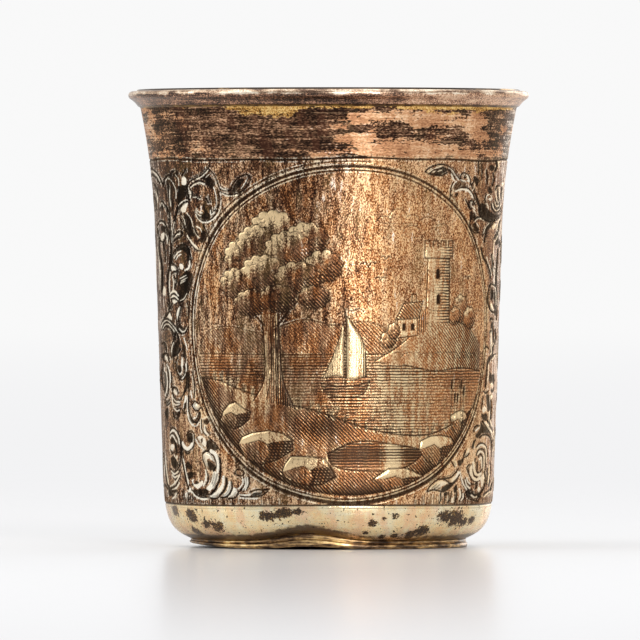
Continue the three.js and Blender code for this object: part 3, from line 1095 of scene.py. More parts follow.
def lower_scroll(pen):
    pen = pen.at(-215, 125)
    pen.dark(
        (23, 35, 27, 28, 28, 12, 27, -5, 22, -19, 16, -29, 8, -36, 7, -33, 14, -24, 21, -12, 24, 4, 24, 21),
        tone=1.0,
    )
    pen.light(
        (14, 6, 20, 5, 22, -3, 19, -13, 13, -23, 6, -27, 1, -23, 7, -16, 11, -5),
        (-4, 36, 1, 40, 7, 38, 12, 32, 15, 26, 15, 22, 8, 28, 2, 28, 3, 20, 5, 13, 0, 19, -4, 28),
    )
    pen.dark((2, 27, 7, 25, 15, 19, 18, 13, 14, 9, 7, 8, 4, 14))
    pen.cut((-6, 38, -5, 26, -1, 15, 2, 6))
    pen.cut((-6, 38, 0, 42, 7, 40, 13, 35, 17, 26, 19, 16, 14, 8), width=0.22)
    pen.cut((13, 41, 19, 36, 24, 26, 25, 12, 24, -3, 20, -17, 14, -28, 4, -35))
    pen.gleam((9, 42, 16, 37, 20, 29, 22, 18, 21, 7), width=0.2)
    pen.cut((15, 4, 14, -5, 11, -16), (19, 2, 17, -9, 13, -19), width=0.07)
    pen.cut((2, 6, 4, -2, 4, -10, 1, -17))
    pen.gleam((0, 8, 1, -2, -1, -11, -4, -19))
    pen.dark((-25, -26, -17, -25, -8, -24, -1, -24, 5, -28, 2, -36, -7, -37, -16, -33))
    pen.cut((-27, -23, -17, -34, -7, -39, 5, -38))
    pen.gleam((-25, -29, -18, -37, -8, -42, 2, -42))


def left_flutes(pen):
    pen = pen.at(-183, 104)
    pen.light(
        (-25, -16, -18, -11, -10, -3, -4, 6, -3, 19, 0, 20, 1, 12, -1, 2, -6, -9, -13, -16, -21, -19),
        (-4, -16, 3, -9, 7, 1, 9, 11, 12, 7, 12, -2, 9, -10, 3, -17),
        (8, -17, 12, -11, 15, -2, 19, -1, 23, -6, 21, -12, 16, -17),
    )
    pen.dark((1, 19, 6, 16, 7, 6, 3, -4, -3, -13, -6, -12, -1, -3, 2, 8), tone=1.0)
    pen.cut((-25, -20, -12, -19, -5, -11))
    pen.cut((-7, -19, 3, -17, 10, -10, 14, -1, 13, 9), width=0.2)
    pen.cut((8, -20, 18, -19, 23, -13, 25, -8), width=0.18)


def foot_shell(pen):
    """Shell and leaf at the foot of the frame."""
    pen = pen.at(-135, 109)
    pen.cut(
        (-30, 19, -25, 26, -18, 25, -13, 20, -15, 15, -23, 15, -30, 19),
        (-12, 10, -12, 0, -17, -9, -23, -13), (-9, 11, -8, -1, -14, -12), (-4, 12, -4, 0, -9, -10),
    )
    pen.gleam((-15, 10, -15, 2, -20, -6, -24, -8), (-11, 10, -10, 0, -15, -10), (-7, 11, -7, 0, -11, -10))
    pen.dark((-2, -20, 3, -15, 12, -14, 20, -14, 15, -19, 6, -21))
    pen.cut((-23, -16, -18, -21, -4, -22, 8, -22, 19, -19, 29, -12), (-2, -14, 8, -10, 19, -10, 31, -9))
    pen.gleam((-21, -18, -9, -19, -2, -18), (-20, -24, -4, -25, 10, -25))


def nested_side_oval(pen):
    """Nested oval by the side."""
    pen = pen.at(-273, 146)
    pen.dark((-4, 40, 0, 45, 5, 40, 8, 30, 9, 19, 7, 13, 4, 25, 2, 34, -2, 34))
    pen.light((-4, 29, -1, 34, 3, 30, 2, 25, -1, 22, -3, 25))
    pen.cut((-4, 57, 0, 62, 6, 58, 11, 49, 14, 37, 15, 19), (-4, 48, 0, 53, 5, 48, 9, 41, 10, 28))
    pen.gleam((-4, 53, 1, 58, 6, 53, 10, 45, 12, 34), (-4, 44, -1, 49, 3, 45, 7, 37))
    pen.cut((-4, 22, -1, 17, 3, 20))
    pen.gleam((3, 14, 6, 8, 8, 12))
    pen.dark((-3, 10, 2, 12, 7, 5, 10, -1, 8, -8, 2, -9, -2, -2))
    pen.cut(
        (14, 23, 13, 7, 11, -5), (-3, -10, 3, -16, 9, -11, 13, -2), (-2, -17, 3, -23, 10, -18, 13, -12),
        (1, -24, 5, -29, 10, -25),
    )
    pen.gleam((-2, -14, 3, -19, 10, -15), (0, -21, 4, -25, 9, -22))
    pen.cut((-4, -44, 4, -41, 9, -33, 13, -23))
    pen.gleam((-4, -41, 2, -37, 8, -30, 12, -22), (-1, -47, 6, -44, 12, -35))
    pen.dark((-1, -47, 7, -46, 9, -49, 2, -53, -1, -51))
    pen.cut((-14, -37, -10, -44, -4, -50), (-3, -53, 3, -58, 9, -52))
    pen.gleam((-1, -62, 3, -59, 6, -54))


def crescent(pen):
    pen = pen.at(-246, 181)
    pen.dark((-1, 15, 4, 19, 8, 15, 9, 6, 7, 0, 2, 0, -2, 6), (-7, -13, -1, -16, 5, -14, 2, -20, -4, -20))
    pen.cut((-3, 13, 1, 20, 6, 21, 10, 15, 11, 4, 9, -8), (-11, 2, -8, -8, -1, -14, 5, -11, 9, -5))
    pen.gleam((-9, 0, -6, -7, -1, -10, 4, -7, 7, -2), width=0.18)


def rosette(pen):
    """Stem and rosette beside the lower scroll."""
    pen = pen.at(-238, 126)
    pen.dark((-12, 19, -8, 24, -4, 18, 0, 12, -5, 9, -10, 11), (-11, 2, -5, 5, 1, 4, 1, -4, -5, -8, -9, -7))
    pen.cut((-19, 47, -19, 29, -16, 15, -13, 1, -10, -13, -8, -25), width=0.22)
    pen.gleam((-16, 27, -13, 12, -10, -3, -7, -16))
    pen.light((-2, -10, 2, -8, 1, -14, 4, -17, 12, -15, 16, -10, 19, -13, 16, -20, 10, -24, 3, -21))
    pen.dark((4, -12, 9, -11, 11, -15, 6, -17), (-1, -14, 2, -18, 0, -21, -3, -17))
    pen.light((-6, -23, -3, -24, -4, -31, -8, -31), (-13, -34, -10, -31, -11, -40, -13, -39))
    pen.cut((-17, -27, -18, -38, -17, -45), (-9, -32, -8, -41, -10, -46), (-1, -35, -1, -43, -2, -46))


# Foliage right of the front roundel, from the upper line down


def right_side_border(pen):
    """Border along the side."""
    pen = pen.at(288, 402)
    pen.dark((5, 152, 9, 146, 9, 128, 5, 125))
    pen.cut((9, 118, 6, 82, 4, 38, 4, 4), width=0.2)
    pen.gleam((2, 134, 0, 106, 1, 74), (4, 168, 7, 184, 9, 202))
    pen.cut((-1, -16, 1, -44, -2, -72), width=0.2)
    pen.gleam((-4, -26, -3, -52, -5, -78))
    pen.dark((-6, -94, -2, -102, -3, -118, -7, -113))
    pen.cut((-4, -138, -3, -166, -6, -196), width=0.2)
    pen.gleam((-7, -148, -7, -174, -9, -202))


def upper_leaf(pen):
    """Leaf under the upper line."""
    pen = pen.at(192, 659)
    pen.dark((-12, -5, -4, 1, 9, 3, 16, -1, 9, -6, 1, -8, -8, -7))
    pen.cut(
        (-22, -2, -18, 2, -9, 7, 3, 10, 14, 9, 23, 3), (-14, -5, -9, -1, 0, 2, 9, 4, 16, 1, 21, -2),
        (-22, -3, -14, -7, -2, -9, 7, -9, 16, -4),
    )
    pen.gleam((-18, -4, -12, 0, -4, 4, 5, 6))
    pen.gleam((-10, -4, -6, -2), width=0.15)
    pen.gleam((-1, -2, 6, 0), width=0.08)


def scroll_stem(pen):
    """Stem to the scroll."""
    pen = pen.at(226, 648)
    pen.cut((-18, 19, -10, 13, -4, 5, 3, -4, 10, -11, 18, -18))
    pen.gleam((-17, 16, -9, 10, -4, 2, 2, -6))
    pen.cut((-15, 12, -9, 5, -4, -4))
    pen.gleam((-12, 5, -8, -3, -4, -8))


def right_scroll(pen):
    pen = pen.at(238, 625)
    pen.dark((-19, 9, -14, 14, -7, 14, 0, 10, 7, 5, -2, 4, -9, 3, -16, -2, -19, 2), tone=0.7)
    pen.cut((-25, -16, -24, -2, -23, 5, -20, 12))
    pen.gleam((-21, -6, -21, 2, -18, 10, -13, 15))
    pen.cut((-17, -3, -9, 2, 0, 4, 8, 1, 14, -7, 19, -16, 26, -29))
    pen.gleam((-16, -3, -8, 0, 0, 0, 7, -2, 12, -8, 15, -15), width=0.16)
    pen.dark((-17, -8, -12, -5, -11, -10, -16, -13))
    pen.cut((-23, -9, -20, -16, -16, -22, -12, -27))
    pen.gleam((-22, -14, -17, -21, -13, -26))
    pen.cut((-7, 20, -5, 26, -1, 29, 5, 27, 9, 21, 11, 13))
    pen.dark((-2, 22, 1, 24, 4, 22, 2, 19, -1, 19))
    pen.gleam((4, 25, 6, 22, 8, 15), width=0.17)
    pen.gleam((-7, 17, 0, 15, 7, 15))
    pen.cut((11, 12, 13, 5, 18, -3))


def upright_strokes(pen):
    """Dark leaf and upright strokes above it."""
    pen = pen.at(274, 648)
    pen.dark((-20, -3, -17, 0, -12, -6, -12, -15, -15, -18, -17, -11))
    pen.cut((-23, -15, -19, -7, -18, -1, -14, -3, -9, -8))
    pen.gleam((-18, -12, -19, -19, -22, -25))
    pen.cut((-11, 24, -10, 15, -11, 4), (-5, 21, -4, 8, -5, -4))
    pen.dark((7, 18, 12, 21, 17, 17, 14, 10, 9, 11))
    pen.cut((20, 26, 21, 18, 18, 10), width=0.22)
    pen.gleam((23, 26, 24, 17), width=0.17)
    pen.cut((3, 11, 5, -3, 4, -13), (15, 6, 16, -6, 13, -17))


def volute_and_ladder(pen):
    pen = pen.at(250, 587)
    pen.light((-1, 15, 2, 18, 4, 15, 1, 11, -1, 12))
    pen.dark((0, 14, 4, 15, 6, 12, 2, 10))
    pen.cut((-3, 15, 0, 19, 5, 16, 7, 11), (-4, 15, -3, 8, 1, 4))
    pen.gleam((-1, 10, 3, 7, 7, 4))
    pen.cut(
        (-9, 20, -5, 10, -2, 4), (0, -4, 6, -5), (0, -7, 7, -9), (0, -10, 7, -12), (0, -13, 7, -15),
        (0, -1, -1, -10, -1, -19),
    )
    pen.gleam((4, 3, 7, -2, 10, -10))


def great_leaf(pen):
    """Great dark leaf and its nested arcs."""
    pen = pen.at(283, 603)
    pen.dark(
        (-19, -7, -15, -1, -10, -3, -6, -10, 0, -16, 7, -20,
         16, -22, 11, -29, 4, -33, -5, -33, -13, -29, -18, -20, -19, -12),
    )
    pen.cut(
        (-26, 16, -22, 6, -19, -5, -19, -17, -15, -27, -7, -33,
         3, -34, 12, -30, 19, -19, 23, -5, 26, 11, 26, 21),
    )
    pen.gleam((-26, -32, -22, -29, -17, -29, -12, -32))
    pen.cut((-25, -29, -22, -26, -18, -27))
    pen.dark((-5, 21, -1, 27, 3, 22, 3, 15, -2, 16))
    pen.cut((-8, -6, -9, 6, -7, 12))
    pen.gleam((-7, 5, -6, 11, -2, 13, 2, 10, 3, 5))
    pen.light((-3, 5, -1, 8, 2, 6, 0, 2))
    pen.gleam((-8, -3, -5, -4, -3, -12))
    pen.cut(
        (2, -4, 4, -13, 9, -18, 15, -16, 19, -8), (6, -2, 8, -9, 11, -12, 15, -9, 17, -3),
        (10, 5, 11, -4, 14, -5, 16, -1),
    )
    pen.gleam((4, -3, 6, -11, 10, -15, 15, -13, 18, -6), (8, 1, 10, -6, 12, -8, 15, -5))
    pen.cut((13, 21, 13, 11, 14, 2), (20, 25, 19, 14, 19, 6), (9, 21, 11, 27, 16, 30))
    pen.gleam((10, 18, 10, 9, 12, 1), (16, 26, 16, 14, 17, 5))
    pen.light((20, 33, 23, 35, 23, 29, 21, 27))


def ladder_drop(pen):
    """Drop below the ladder."""
    pen = pen.at(256, 559)
    pen.dark((-4, 6, 1, 8, 4, 2, 8, -3, 6, -8, 1, -7, -2, -2))
    pen.cut((-8, 9, -7, 1, -3, -6, 1, -10, 8, -9))
    pen.gleam((0, 11, 4, 6, 7, 1))


def great_leaf_stem(pen):
    """Stem below the great leaf."""
    pen = pen.at(285, 548)
    pen.dark((-4, 18, 2, 19, -3, 13, -9, 7, -11, 8))
    pen.cut((-1, 20, -8, 13, -13, 5, -15, -4), (7, 23, 0, 15, -7, 8, -10, -1, -12, -15))
    pen.gleam((-4, 18, -10, 11, -14, 1))
    pen.light((1, 12, 7, 18, 8, 16, 6, 9, 2, 8))
    pen.gleam((14, 26, 11, 18, 9, 7))
    pen.cut((16, 22, 13, 13, 12, 3))
    pen.dark((12, -15, 15, -11, 16, -22, 14, -25))
    pen.cut((5, -9, 8, -2, 12, 0))
    pen.gleam((6, -14, 9, -9, 11, -4))


def long_leaf(pen):
    pen = pen.at(278, 496)
    pen.cut((-10, 27, -7, 13, -1, 0, 4, -12, 5, -26), width=0.2)
    pen.gleam((-1, 11, 2, -1, 6, -14, 7, -22))
    pen.cut((8, 15, 10, 0, 9, -15))


def narrow_drop(pen):
    pen = pen.at(287, 428)
    pen.dark((-4, 19, -1, 25, 2, 18, 1, 7, -2, 2, -4, 9))
    pen.light((-4, -1, -2, -2, 1, -10, 3, -16, -2, -13))
    pen.cut(
        (-6, 21, -5, 29, -1, 32, 4, 29), (-6, 21, -8, 5, -6, -8, -2, -16, 2, -19, 5, -14, 2, -5),
        (4, 16, 3, 5, 5, 0), (7, 26, 8, 9, 8, -12, 7, -31),
    )
    pen.gleam((5, 25, 6, 11, 6, -5))


def right_side_marks(pen):
    """Small marks down the side."""
    pen = pen.at(280, 310)
    pen.cut((3, 87, 5, 90, 8, 87))
    pen.dark((4, 80, 8, 84, 7, 73, 4, 71))
    pen.cut((3, 64, 5, 68))
    pen.cut((12, 69, 13, 57, 11, 46, 6, 39, 4, 31), width=0.2)
    pen.gleam((9, 46, 5, 38, 5, 29))
    pen.cut((-6, 37, -3, 40, 0, 37))
    pen.dark((-2, 18, 1, 23, 5, 26, 4, 17, 0, 10, -2, 4))
    pen.cut((6, 21, 10, 26, 13, 27))
    pen.gleam((7, 17, 11, 24))
    pen.cut((-2, 13, -3, -1, -4, -17, -5, -32))
    pen.gleam((0, 8, -1, -8, -2, -22))
    pen.dark((5, -11, 9, -7, 11, -20, 9, -27, 6, -20), (4, -32, 7, -35, 10, -29, 9, -39, 5, -41))
    pen.light((3, -26, 6, -23, 7, -28, 4, -31))
    pen.cut((-8, -38, -4, -42, 0, -38))
    pen.light((3, -47, 6, -44, 7, -50, 4, -53))
    pen.dark(
        (-4, -45, 0, -43, 2, -57, 3, -71, -1, -74, -3, -62),
        (-13, -76, -8, -78, -4, -76, -1, -83, -3, -90, -9, -89, -12, -83),
    )
    pen.light((-11, -71, -7, -64, -3, -70, -6, -74, -9, -75))
    pen.cut((-9, -48, -10, -59, -12, -69))


def shell_leaf(pen):
    pen = pen.at(272, 197)
    pen.dark((-6, 23, 0, 15, 6, 9, 10, 2, 5, 1, -3, 1, -8, -4, -11, -8, -15, -3, -11, 3, -7, 10))
    pen.cut((-2, 22, 4, 13, 10, 5, 15, -3, 17, -14, 16, -24))
    pen.gleam((2, 20, 8, 11, 13, 2, 16, -8))
    pen.cut((6, 24, 12, 15, 15, 5))
    pen.gleam((11, 23, 13, 14))
    pen.light((-16, 6, -13, 9, -8, 11, -10, 8, -14, 4))
    pen.cut((-17, 4, -16, 11, -12, 14, -8, 14))


def nested_spiral(pen):
    pen = pen.at(260, 143)
    pen.dark((-10, 31, -6, 42, -1, 46, -4, 37, -7, 27))
    pen.cut(
        (5, 47, 10, 52, 16, 53, 21, 51, 25, 44, 26, 31, 26, 15),
        (-1, 31, 4, 37, 9, 38, 14, 35, 17, 28, 18, 15),
        (-1, 17, 2, 25, 7, 28, 12, 26, 14, 17, 15, 3, 14, -9), (2, 14, 6, 19, 9, 15, 10, 5, 9, -6, 6, -13),
        (-3, 10, -4, 0, -2, -9, 2, -14, 6, -13),
    )
    pen.cut((-8, 1, -8, -9, -5, -18, 0, -22, 6, -20), width=0.2)
    pen.cut((-15, -7, -13, -18, -9, -26, -3, -29, 4, -27), (-16, -13, -17, -5, -13, 0, -10, -5))
    pen.dark((-1, 3, 1, 8, 2, -2, 1, -7, -1, -3))
    pen.light(
        (-13, -12, -12, -4, -10, -13, -9, -20, -12, -18),
        (6, -23, 11, -15, 13, -23, 11, -34, 8, -40, 7, -31),
    )
    pen.gleam(
        (1, 30, 5, 34, 11, 34, 15, 29, 16, 17, 16, 3), (1, 18, 4, 23, 9, 22, 12, 15, 12, 3, 11, -9),
        (4, 9, 7, 13, 8, 5, 8, -5),
    )
    pen.gleam(
        (-6, 3, -5, -7, -3, -15, 2, -18, 6, -16), (-10, -4, -10, -14, -7, -23, -1, -26, 5, -23), width=0.17,
    )
    pen.cut((-20, -23, -17, -31, -12, -37), (-23, -26, -20, -36, -15, -43, -6, -47))
    pen.gleam((-18, -24, -16, -30, -11, -34), (-21, -27, -19, -35, -13, -41))
    pen.dark((-12, -31, -8, -32, -4, -34, -10, -36))
    pen.cut((-3, -34, 0, -31, 0, -39, -3, -42))
    pen.light((0, -43, 4, -39, 6, -43, 3, -47))
    pen.dark((-19, -45, -12, -51, -4, -54, 5, -52, 9, -56, 0, -59, -10, -58, -17, -54))
    pen.cut(
        (13, -13, 15, -27, 12, -40, 7, -49, -2, -52, -10, -50, -18, -44),
        (-29, -16, -27, -27, -22, -38, -16, -47, -7, -53, 3, -55), width=0.2,
    )
    pen.gleam((-30, -13, -28, -22, -24, -34, -18, -43), (-10, -53, -4, -57, 0, -56))
    pen.cut((-19, -48, -14, -58, -5, -62, 4, -64), (12, -53, 18, -48, 24, -43))
    pen.gleam((13, -56, 19, -50, 24, -47))
    pen.cut((23, 5, 23, -13, 22, -28, 21, -37), (18, -6, 18, -20, 17, -34))
    pen.gleam((21, -2, 21, -18, 19, -32))
    pen.cut((31, 65, 31, 49, 31, 31, 30, 15))
    pen.gleam((29, 58, 30, 44, 29, 26))


def spiral_leaves(pen):
    """Leaves between the spiral and the frame."""
    pen = pen.at(231, 157)
    pen.light((8, 1, 11, 8, 15, 15, 16, 12, 13, 5, 9, 0))
    pen.cut((6, -1, 12, 1, 16, 6))
    pen.dark(
        (4, -2, 6, 8, 11, 16, 12, 18, 10, 10, 7, 1, 5, -9, 2, -13, -2, -7),
        (-5, -6, 0, -5, 2, -13, -1, -17, -5, -11),
    )
    pen.light((-13, -7, -9, -7, -6, -17, -9, -16, -12, -11))
    pen.cut((-15, -9, -10, -17))


def veined_leaf(pen):
    """Veined leaf along the frame."""
    pen = pen.at(201, 116)
    pen.light(
        (-26, -19, -22, -12, -16, -7, -9, -2, 0, -1, 7, -4, 13, -5, 5, -7, -4, -11, -13, -15, -21, -15),
    )
    pen.dark((-4, -16, 0, -11, 7, -7, 15, -4, 21, 1, 19, -7, 13, -14, 5, -18, -2, -19))
    pen.cut(
        (-28, -20, -23, -11, -15, -3, -6, 2, 5, 0, 12, -5, 20, 0, 25, 8, 29, 18),
        (-27, -20, -18, -17, -9, -18, 0, -20, 8, -16, 16, -9, 23, 0, 28, 10),
        (-6, 2, 3, 3, 13, 5, 21, 13, 27, 21),
    )
    pen.gleam((15, -1, 22, 6, 27, 14), width=0.16)
    pen.cut((-20, -14, -11, -7), (-14, -15, -6, -8), width=0.07)


def right_flutes(pen):
    pen = pen.at(217, 92)
    pen.dark((2, 11, 7, 17, 9, 7, 5, 2, 2, 5), (-15, 2, -9, 4, -8, -1, -13, -4))
    pen.light((-9, -7, -8, -2, -7, -11, -9, -15), (-2, -15, 0, -8, 4, -4, 4, -11, 2, -16))
    pen.cut((-20, 1, -19, -9, -21, -16), (-13, 0, -12, -9, -13, -16), width=0.2)
    pen.cut((-6, 3, -5, -9, -7, -16), (-1, 4, -1, -5, -4, -13))
    pen.cut((7, 10, 8, -2, 6, -16), width=0.2)
    pen.cut((16, 7, 17, -4, 14, -12), (21, 1, 22, -6, 19, -11))
    pen.gleam((12, 9, 14, -1, 12, -9), (19, 0, 19, -7, 16, -11))


# Each side's motifs in the order that they are cut
LEFT_FOLIAGE = (
    left_side_leaf, left_side_border, tall_leaf, ring_scroll, frame_tendril, second_scroll, left_stem,
    side_oval, round_scroll, dark_leaf_with_arcs, streak_and_waves, hanging_drop, long_side_oval,
    stacked_leaves, lozenge_loop, scroll_head, lower_scroll, left_flutes, foot_shell, nested_side_oval,
    crescent, rosette,
)
RIGHT_FOLIAGE = (
    right_side_border, upper_leaf, scroll_stem, right_scroll, upright_strokes, volute_and_ladder,
    great_leaf, ladder_drop, great_leaf_stem, long_leaf, narrow_drop, right_side_marks, shell_leaf,
    nested_spiral, spiral_leaves, veined_leaf, right_flutes,
)


def side_scrolls(place):
    """Scrolls along the middle of the right side, measured from a roundel's middle."""
    volute = (0.12, 0.45, 0.55, 0.4, 0.2)
    curl(place, (44.2, 51.6), 2.5, 0.4, 100, 1.4, volute, "bright")
    blade(place, [(41.4, 55.4), (40.6, 52.0), (41.5, 48.4)], (0.08, 0.75, 0.08), "right")
    curl(place, (44.4, 45.4), 2.4, 0.4, 80, -1.4, volute, "bright")
    blade(place, [(41.2, 47.2), (41.0, 44.6), (41.9, 42.4)], (0.08, 0.65, 0.08), "dark")
    drop(place, (44.6, 38.2), (44.4, 31.2), 1.9)
    blade(place, [(41.6, 37.4), (41.2, 34.0), (42.0, 30.4)], (0.06, 0.6, 0.06), "left")
    curl(place, (44.3, 27.2), 2.4, 0.4, 90, 1.4, volute, "bright")
    shell(place, (44.6, 22.0), (0.9, 1.7, 2.5), 200, 330, 0.3)
    blade(place, [(46.6, 20.6), (45.4, 16.6), (45.8, 12.6)], (0.1, 0.9, 0.1), "right")
    curl(place, (43.0, 11.2), 1.7, 0.3, 60, -1.3, (0.1, 0.4, 0.45, 0.2), "bright")
    blade(place, [(39.8, 11.8), (37.6, 10.2), (35.6, 9.4)], (0.08, 0.6, 0.08), "dark")


def lower_cuts(place):
    """Short upright cuts along the lower line."""
    rng = np.random.default_rng(5)
    first, last, pitch = 12.5, 47.2, 0.55  # along the wall from a roundel's middle
    for s in np.arange(first, last, pitch):
        s += rng.uniform(-0.12, 0.12)
        top = LOWER_LINE_Z + rng.uniform(0.9, 1.9)
        upright = [(s, LOWER_LINE_Z + 0.35), (s + rng.uniform(-0.1, 0.1), top)]
        line(place, upright, width=0.11, depth=0.06, dark=0.8, burr=0.3)


def frame_lines(place):
    """The double frame of a roundel."""
    rng = np.random.default_rng(3)
    steps = 240

    def ring(half, width, depth, dark, burr, heavy=0, start=0, end=360):
        """One line of the frame, cut by hand: it wavers, and is heavier below by the given share."""
        a = np.radians(np.linspace(start, end, steps))
        wobble = 0.08 * np.sin(a * 3 + 0.7) + 0.06 * np.sin(a * 11)
        points = np.column_stack([np.cos(a) * ROUNDEL_WIDE, np.sin(a)]) * (half + wobble)[:, None]
        below = np.maximum(0, -np.sin(a)) ** 4
        upper_left = 0.7 * np.maximum(0, np.cos(a - math.radians(140))) ** 8
        uneven = 0.25 * rng.standard_normal(steps).cumsum() / 12
        widths = width * (1 + uneven + heavy * (below + upper_left))
        line(place, points + ROUNDEL_MIDDLE, np.clip(widths, 0.6 * width, 3 * width), depth, dark, burr)

    ring(ROUNDEL_OUTER - 0.45, width=0.22, depth=0.16, dark=0.95, burr=0.85, heavy=0.7)
    ring(ROUNDEL_INNER - 0.05, width=0.09, depth=0.1, dark=1.0, burr=0.8)
    ring(ROUNDEL_OUTER + 0.42, width=0.08, depth=0.09, dark=0.9, burr=0.55, start=84, end=208)


# The picture in the roundels: points in millimetres from a roundel's middle

# Half-heights, in the roundel's shape, that hold what is cut inside its frame
HORIZON_REACH = 28.3
LINE_REACH = 28.2
FILL_REACH = 28
STONE_REACH = 27.9
CRACK_REACH = 27.7
RIPPLE_REACH = 27.6
GRASS_REACH = 26.5


def held_in(half, points):
    """Keeps points inside a half-height of the roundel."""
    p = np.asarray(points, float)
    reach = np.hypot(p[:, 0] / ROUNDEL_WIDE, p[:, 1])
    return p * np.minimum(1, half / np.maximum(reach, 1e-6))[:, None]


class Landscape:
    """A lake with trees, a tower on its far bank and a boat, cut in a roundel."""

    def __init__(self, place, seed):
        self.place = place
        self.rng = np.random.default_rng(seed)
        brow = [(-29.5, -7.6), (-25, -7.9), (-20, -9.6), (-13, -11.6), (-6, -13.2), (1, -15.6), (8, -17.2)]
        brow += [(15, -17.4), (21, -15.6), (26, -13.4), (29.5, -11)]
        self.brow = smooth(brow, 70)  # upper edge of the near bank

    def cut_all(self):
        """Cuts from far to near, so that what is nearer clears its place."""
        self.clouds()
        self.far_hills()
        self.lake()
        self.right_bank()
        self.tower()
        self.house()
        self.bushes()
        self.boat()
        self.near_bank()
        self.pool()
        self.stones()
        self.grass_on_brow()
        self.great_tree()
        self.reeds()
        self.birds()

    def straight(self, points, width, depth=0.07, **more):
        line(self.place, np.asarray(points, float) + ROUNDEL_MIDDLE, width, depth, **more)

    def draw(self, points, width, **more):
        """An even curve through the points."""
        self.straight(smooth(points, 8 * len(points)), width, 0.08, **more)

    def shape(self, points, lift=0.0, **tones):
        region(self.place, np.asarray(points, float) + ROUNDEL_MIDDLE, lift, **tones)

    def scalloped(self, middle, wide, tall, bumps):
        """An oval outline with bumps round it."""
        deep = 0.16
        a = np.linspace(0, 2 * math.pi, 12 * bumps, endpoint=False)
        r = 1 - deep + deep * np.abs(np.sin(a * bumps / 2 + self.rng.uniform(0, 3))) ** 0.7
        return np.column_stack([middle[0] + wide * r * np.cos(a), middle[1] + tall * r * np.sin(a)])

    def cluster(self, middle, wide, tall, shade):
        """One cluster of leaves: light from the upper left, cut marks and hatching on its other side."""
        rng = self.rng
        outline = self.scalloped(middle, wide, tall, round(5 + wide * 1.6))

        def dusk(s, z):
            return (s - middle[0]) / wide * 0.34 - (z - ROUNDEL_Z - middle[1]) / tall * 0.5 + shade

        self.shape(outline, 0.07, slant=dusk, calm=0.8, worn=lambda s, z: 0.36 - 1.2 * dusk(s, z))
        self.straight(round_again(outline), 0.085, burr=0.3)
        for _ in range(round(wide * tall * 1.5)):
            a, r = rng.uniform(0, 2 * math.pi), math.sqrt(rng.uniform(0, 0.6))
            spot = np.array(middle) + (r * wide * math.cos(a), r * tall * math.sin(a))
            self.straight(arc(spot, 0.42, 200, 350, 6, 0.8), 0.07, dark=0.9, burr=0.25)

    def boulder(self, middle, wide, tall):
        """A broken stone: a bare top, a hatched front and a dark end face."""
        rng = self.rng
        corners = (178, 150, 118, 84, 50, 18, -14, -52, -90, -130, -160)
        a = np.radians(corners) + rng.uniform(-0.12, 0.12, len(corners))
        r = rng.uniform(0.84, 1.12, len(corners))
        rim = np.column_stack([middle[0] + wide * r * np.cos(a), middle[1] + tall * r * np.sin(a)])
        ridge = np.array([(-0.62, 0.12), (-0.2, 0.3), (0.12, 0.06), (0.38, 0.2)]) * (wide, tall) + middle
        heel = np.array(middle) + (0.2 * wide, -0.45 * tall)
        top = held_in(STONE_REACH, np.vstack([rim[:6], ridge[::-1]]))
        front = held_in(STONE_REACH, np.vstack([ridge[:3], [heel], rim[8:], rim[:1]]))
        end = held_in(STONE_REACH, np.vstack([ridge[2:], rim[5:9], [heel]]))

        def lit(s, z):
            return 0.72 - 0.4 * (s - middle[0]) / wide

        def shaded(s, z):
            return 0.42 - 0.3 * (z - ROUNDEL_Z - middle[1]) / tall

        def turning(s, z):
            return 0.08 + 0.22 * (s - middle[0]) / wide

        self.shape(top, 0.14, slant=turning, calm=1.0, worn=lit)
        self.shape(front, 0.1, slant=shaded, calm=1.0, worn=lambda s, z: 0.5 - shaded(s, z))
        self.shape(end, 0.06, slant=0.9, level=0.55, calm=1.0)
        corner = np.vstack([ridge[2:3], [heel], rim[8:9]])
        for edge, width in ((round_again(rim), 0.11), (ridge, 0.07), (corner, 0.08)):
            self.straight(held_in(STONE_REACH, edge), width, burr=0.45)
        for _ in range(round(wide)):
            spot = heel + rng.uniform((-0.9, -0.2), (-0.3, 0.6)) * (wide, tall)
            crack = spot + np.array([(0, 0), (0.3, -0.5), (0.2, -1.0)])
            self.straight(held_in(CRACK_REACH, crack), 0.06, dark=0.9, burr=0.3)

    def ripples(self, low, high, count):
        rng = self.rng
        for q in np.linspace(low, high, count) + rng.uniform(-0.2, 0.2, count):
            s, size = rng.uniform(-26, 26), rng.uniform(2.5, 7)
            steps = np.linspace(s, s + size, 9)
            points = np.column_stack([steps, q + 0.12 * np.sin(steps * 1.7 + rng.uniform(0, 6))])
            self.straight(held_in(RIPPLE_REACH, points), 0.06, dark=0.85, burr=0.35)

    def grass(self, spot, size, blades):
        rng = self.rng
        for _ in range(blades):
            lean = rng.uniform(-0.45, 0.45)
            tip = (spot[0] + lean * size, spot[1] + size * rng.uniform(0.7, 1.1))
            root = (spot[0] + rng.uniform(-0.4, 0.4) * size * 0.5, spot[1])
            bend = ((root[0] + tip[0]) / 2 - 0.12 * lean, (root[1] + tip[1]) / 2)
            self.draw([root, bend, tip], 0.06, dark=0.9)

    def clouds(self):
        for x, y, size in ((8.5, 19.4, 1.0), (14.2, 17.6, 1.2)):
            for dx, dy, r in ((-2.6, 0, 1.3), (0, 0.9, 1.7), (2.7, 0.2, 1.35)):
                puff = arc((x + dx * size, y + dy * size), r * size, 10, 175, 9, 0.8)
                self.draw(puff, 0.07, dark=0.75, burr=0.25)
            for i in range(3):
                level = y - 0.5 * i - 0.3
                ends = [(x - (3.6 - i) * size, level), (x + (3.4 - 1.1 * i) * size, level)]
                self.straight(ends, 0.05, dark=0.6, burr=0.15)

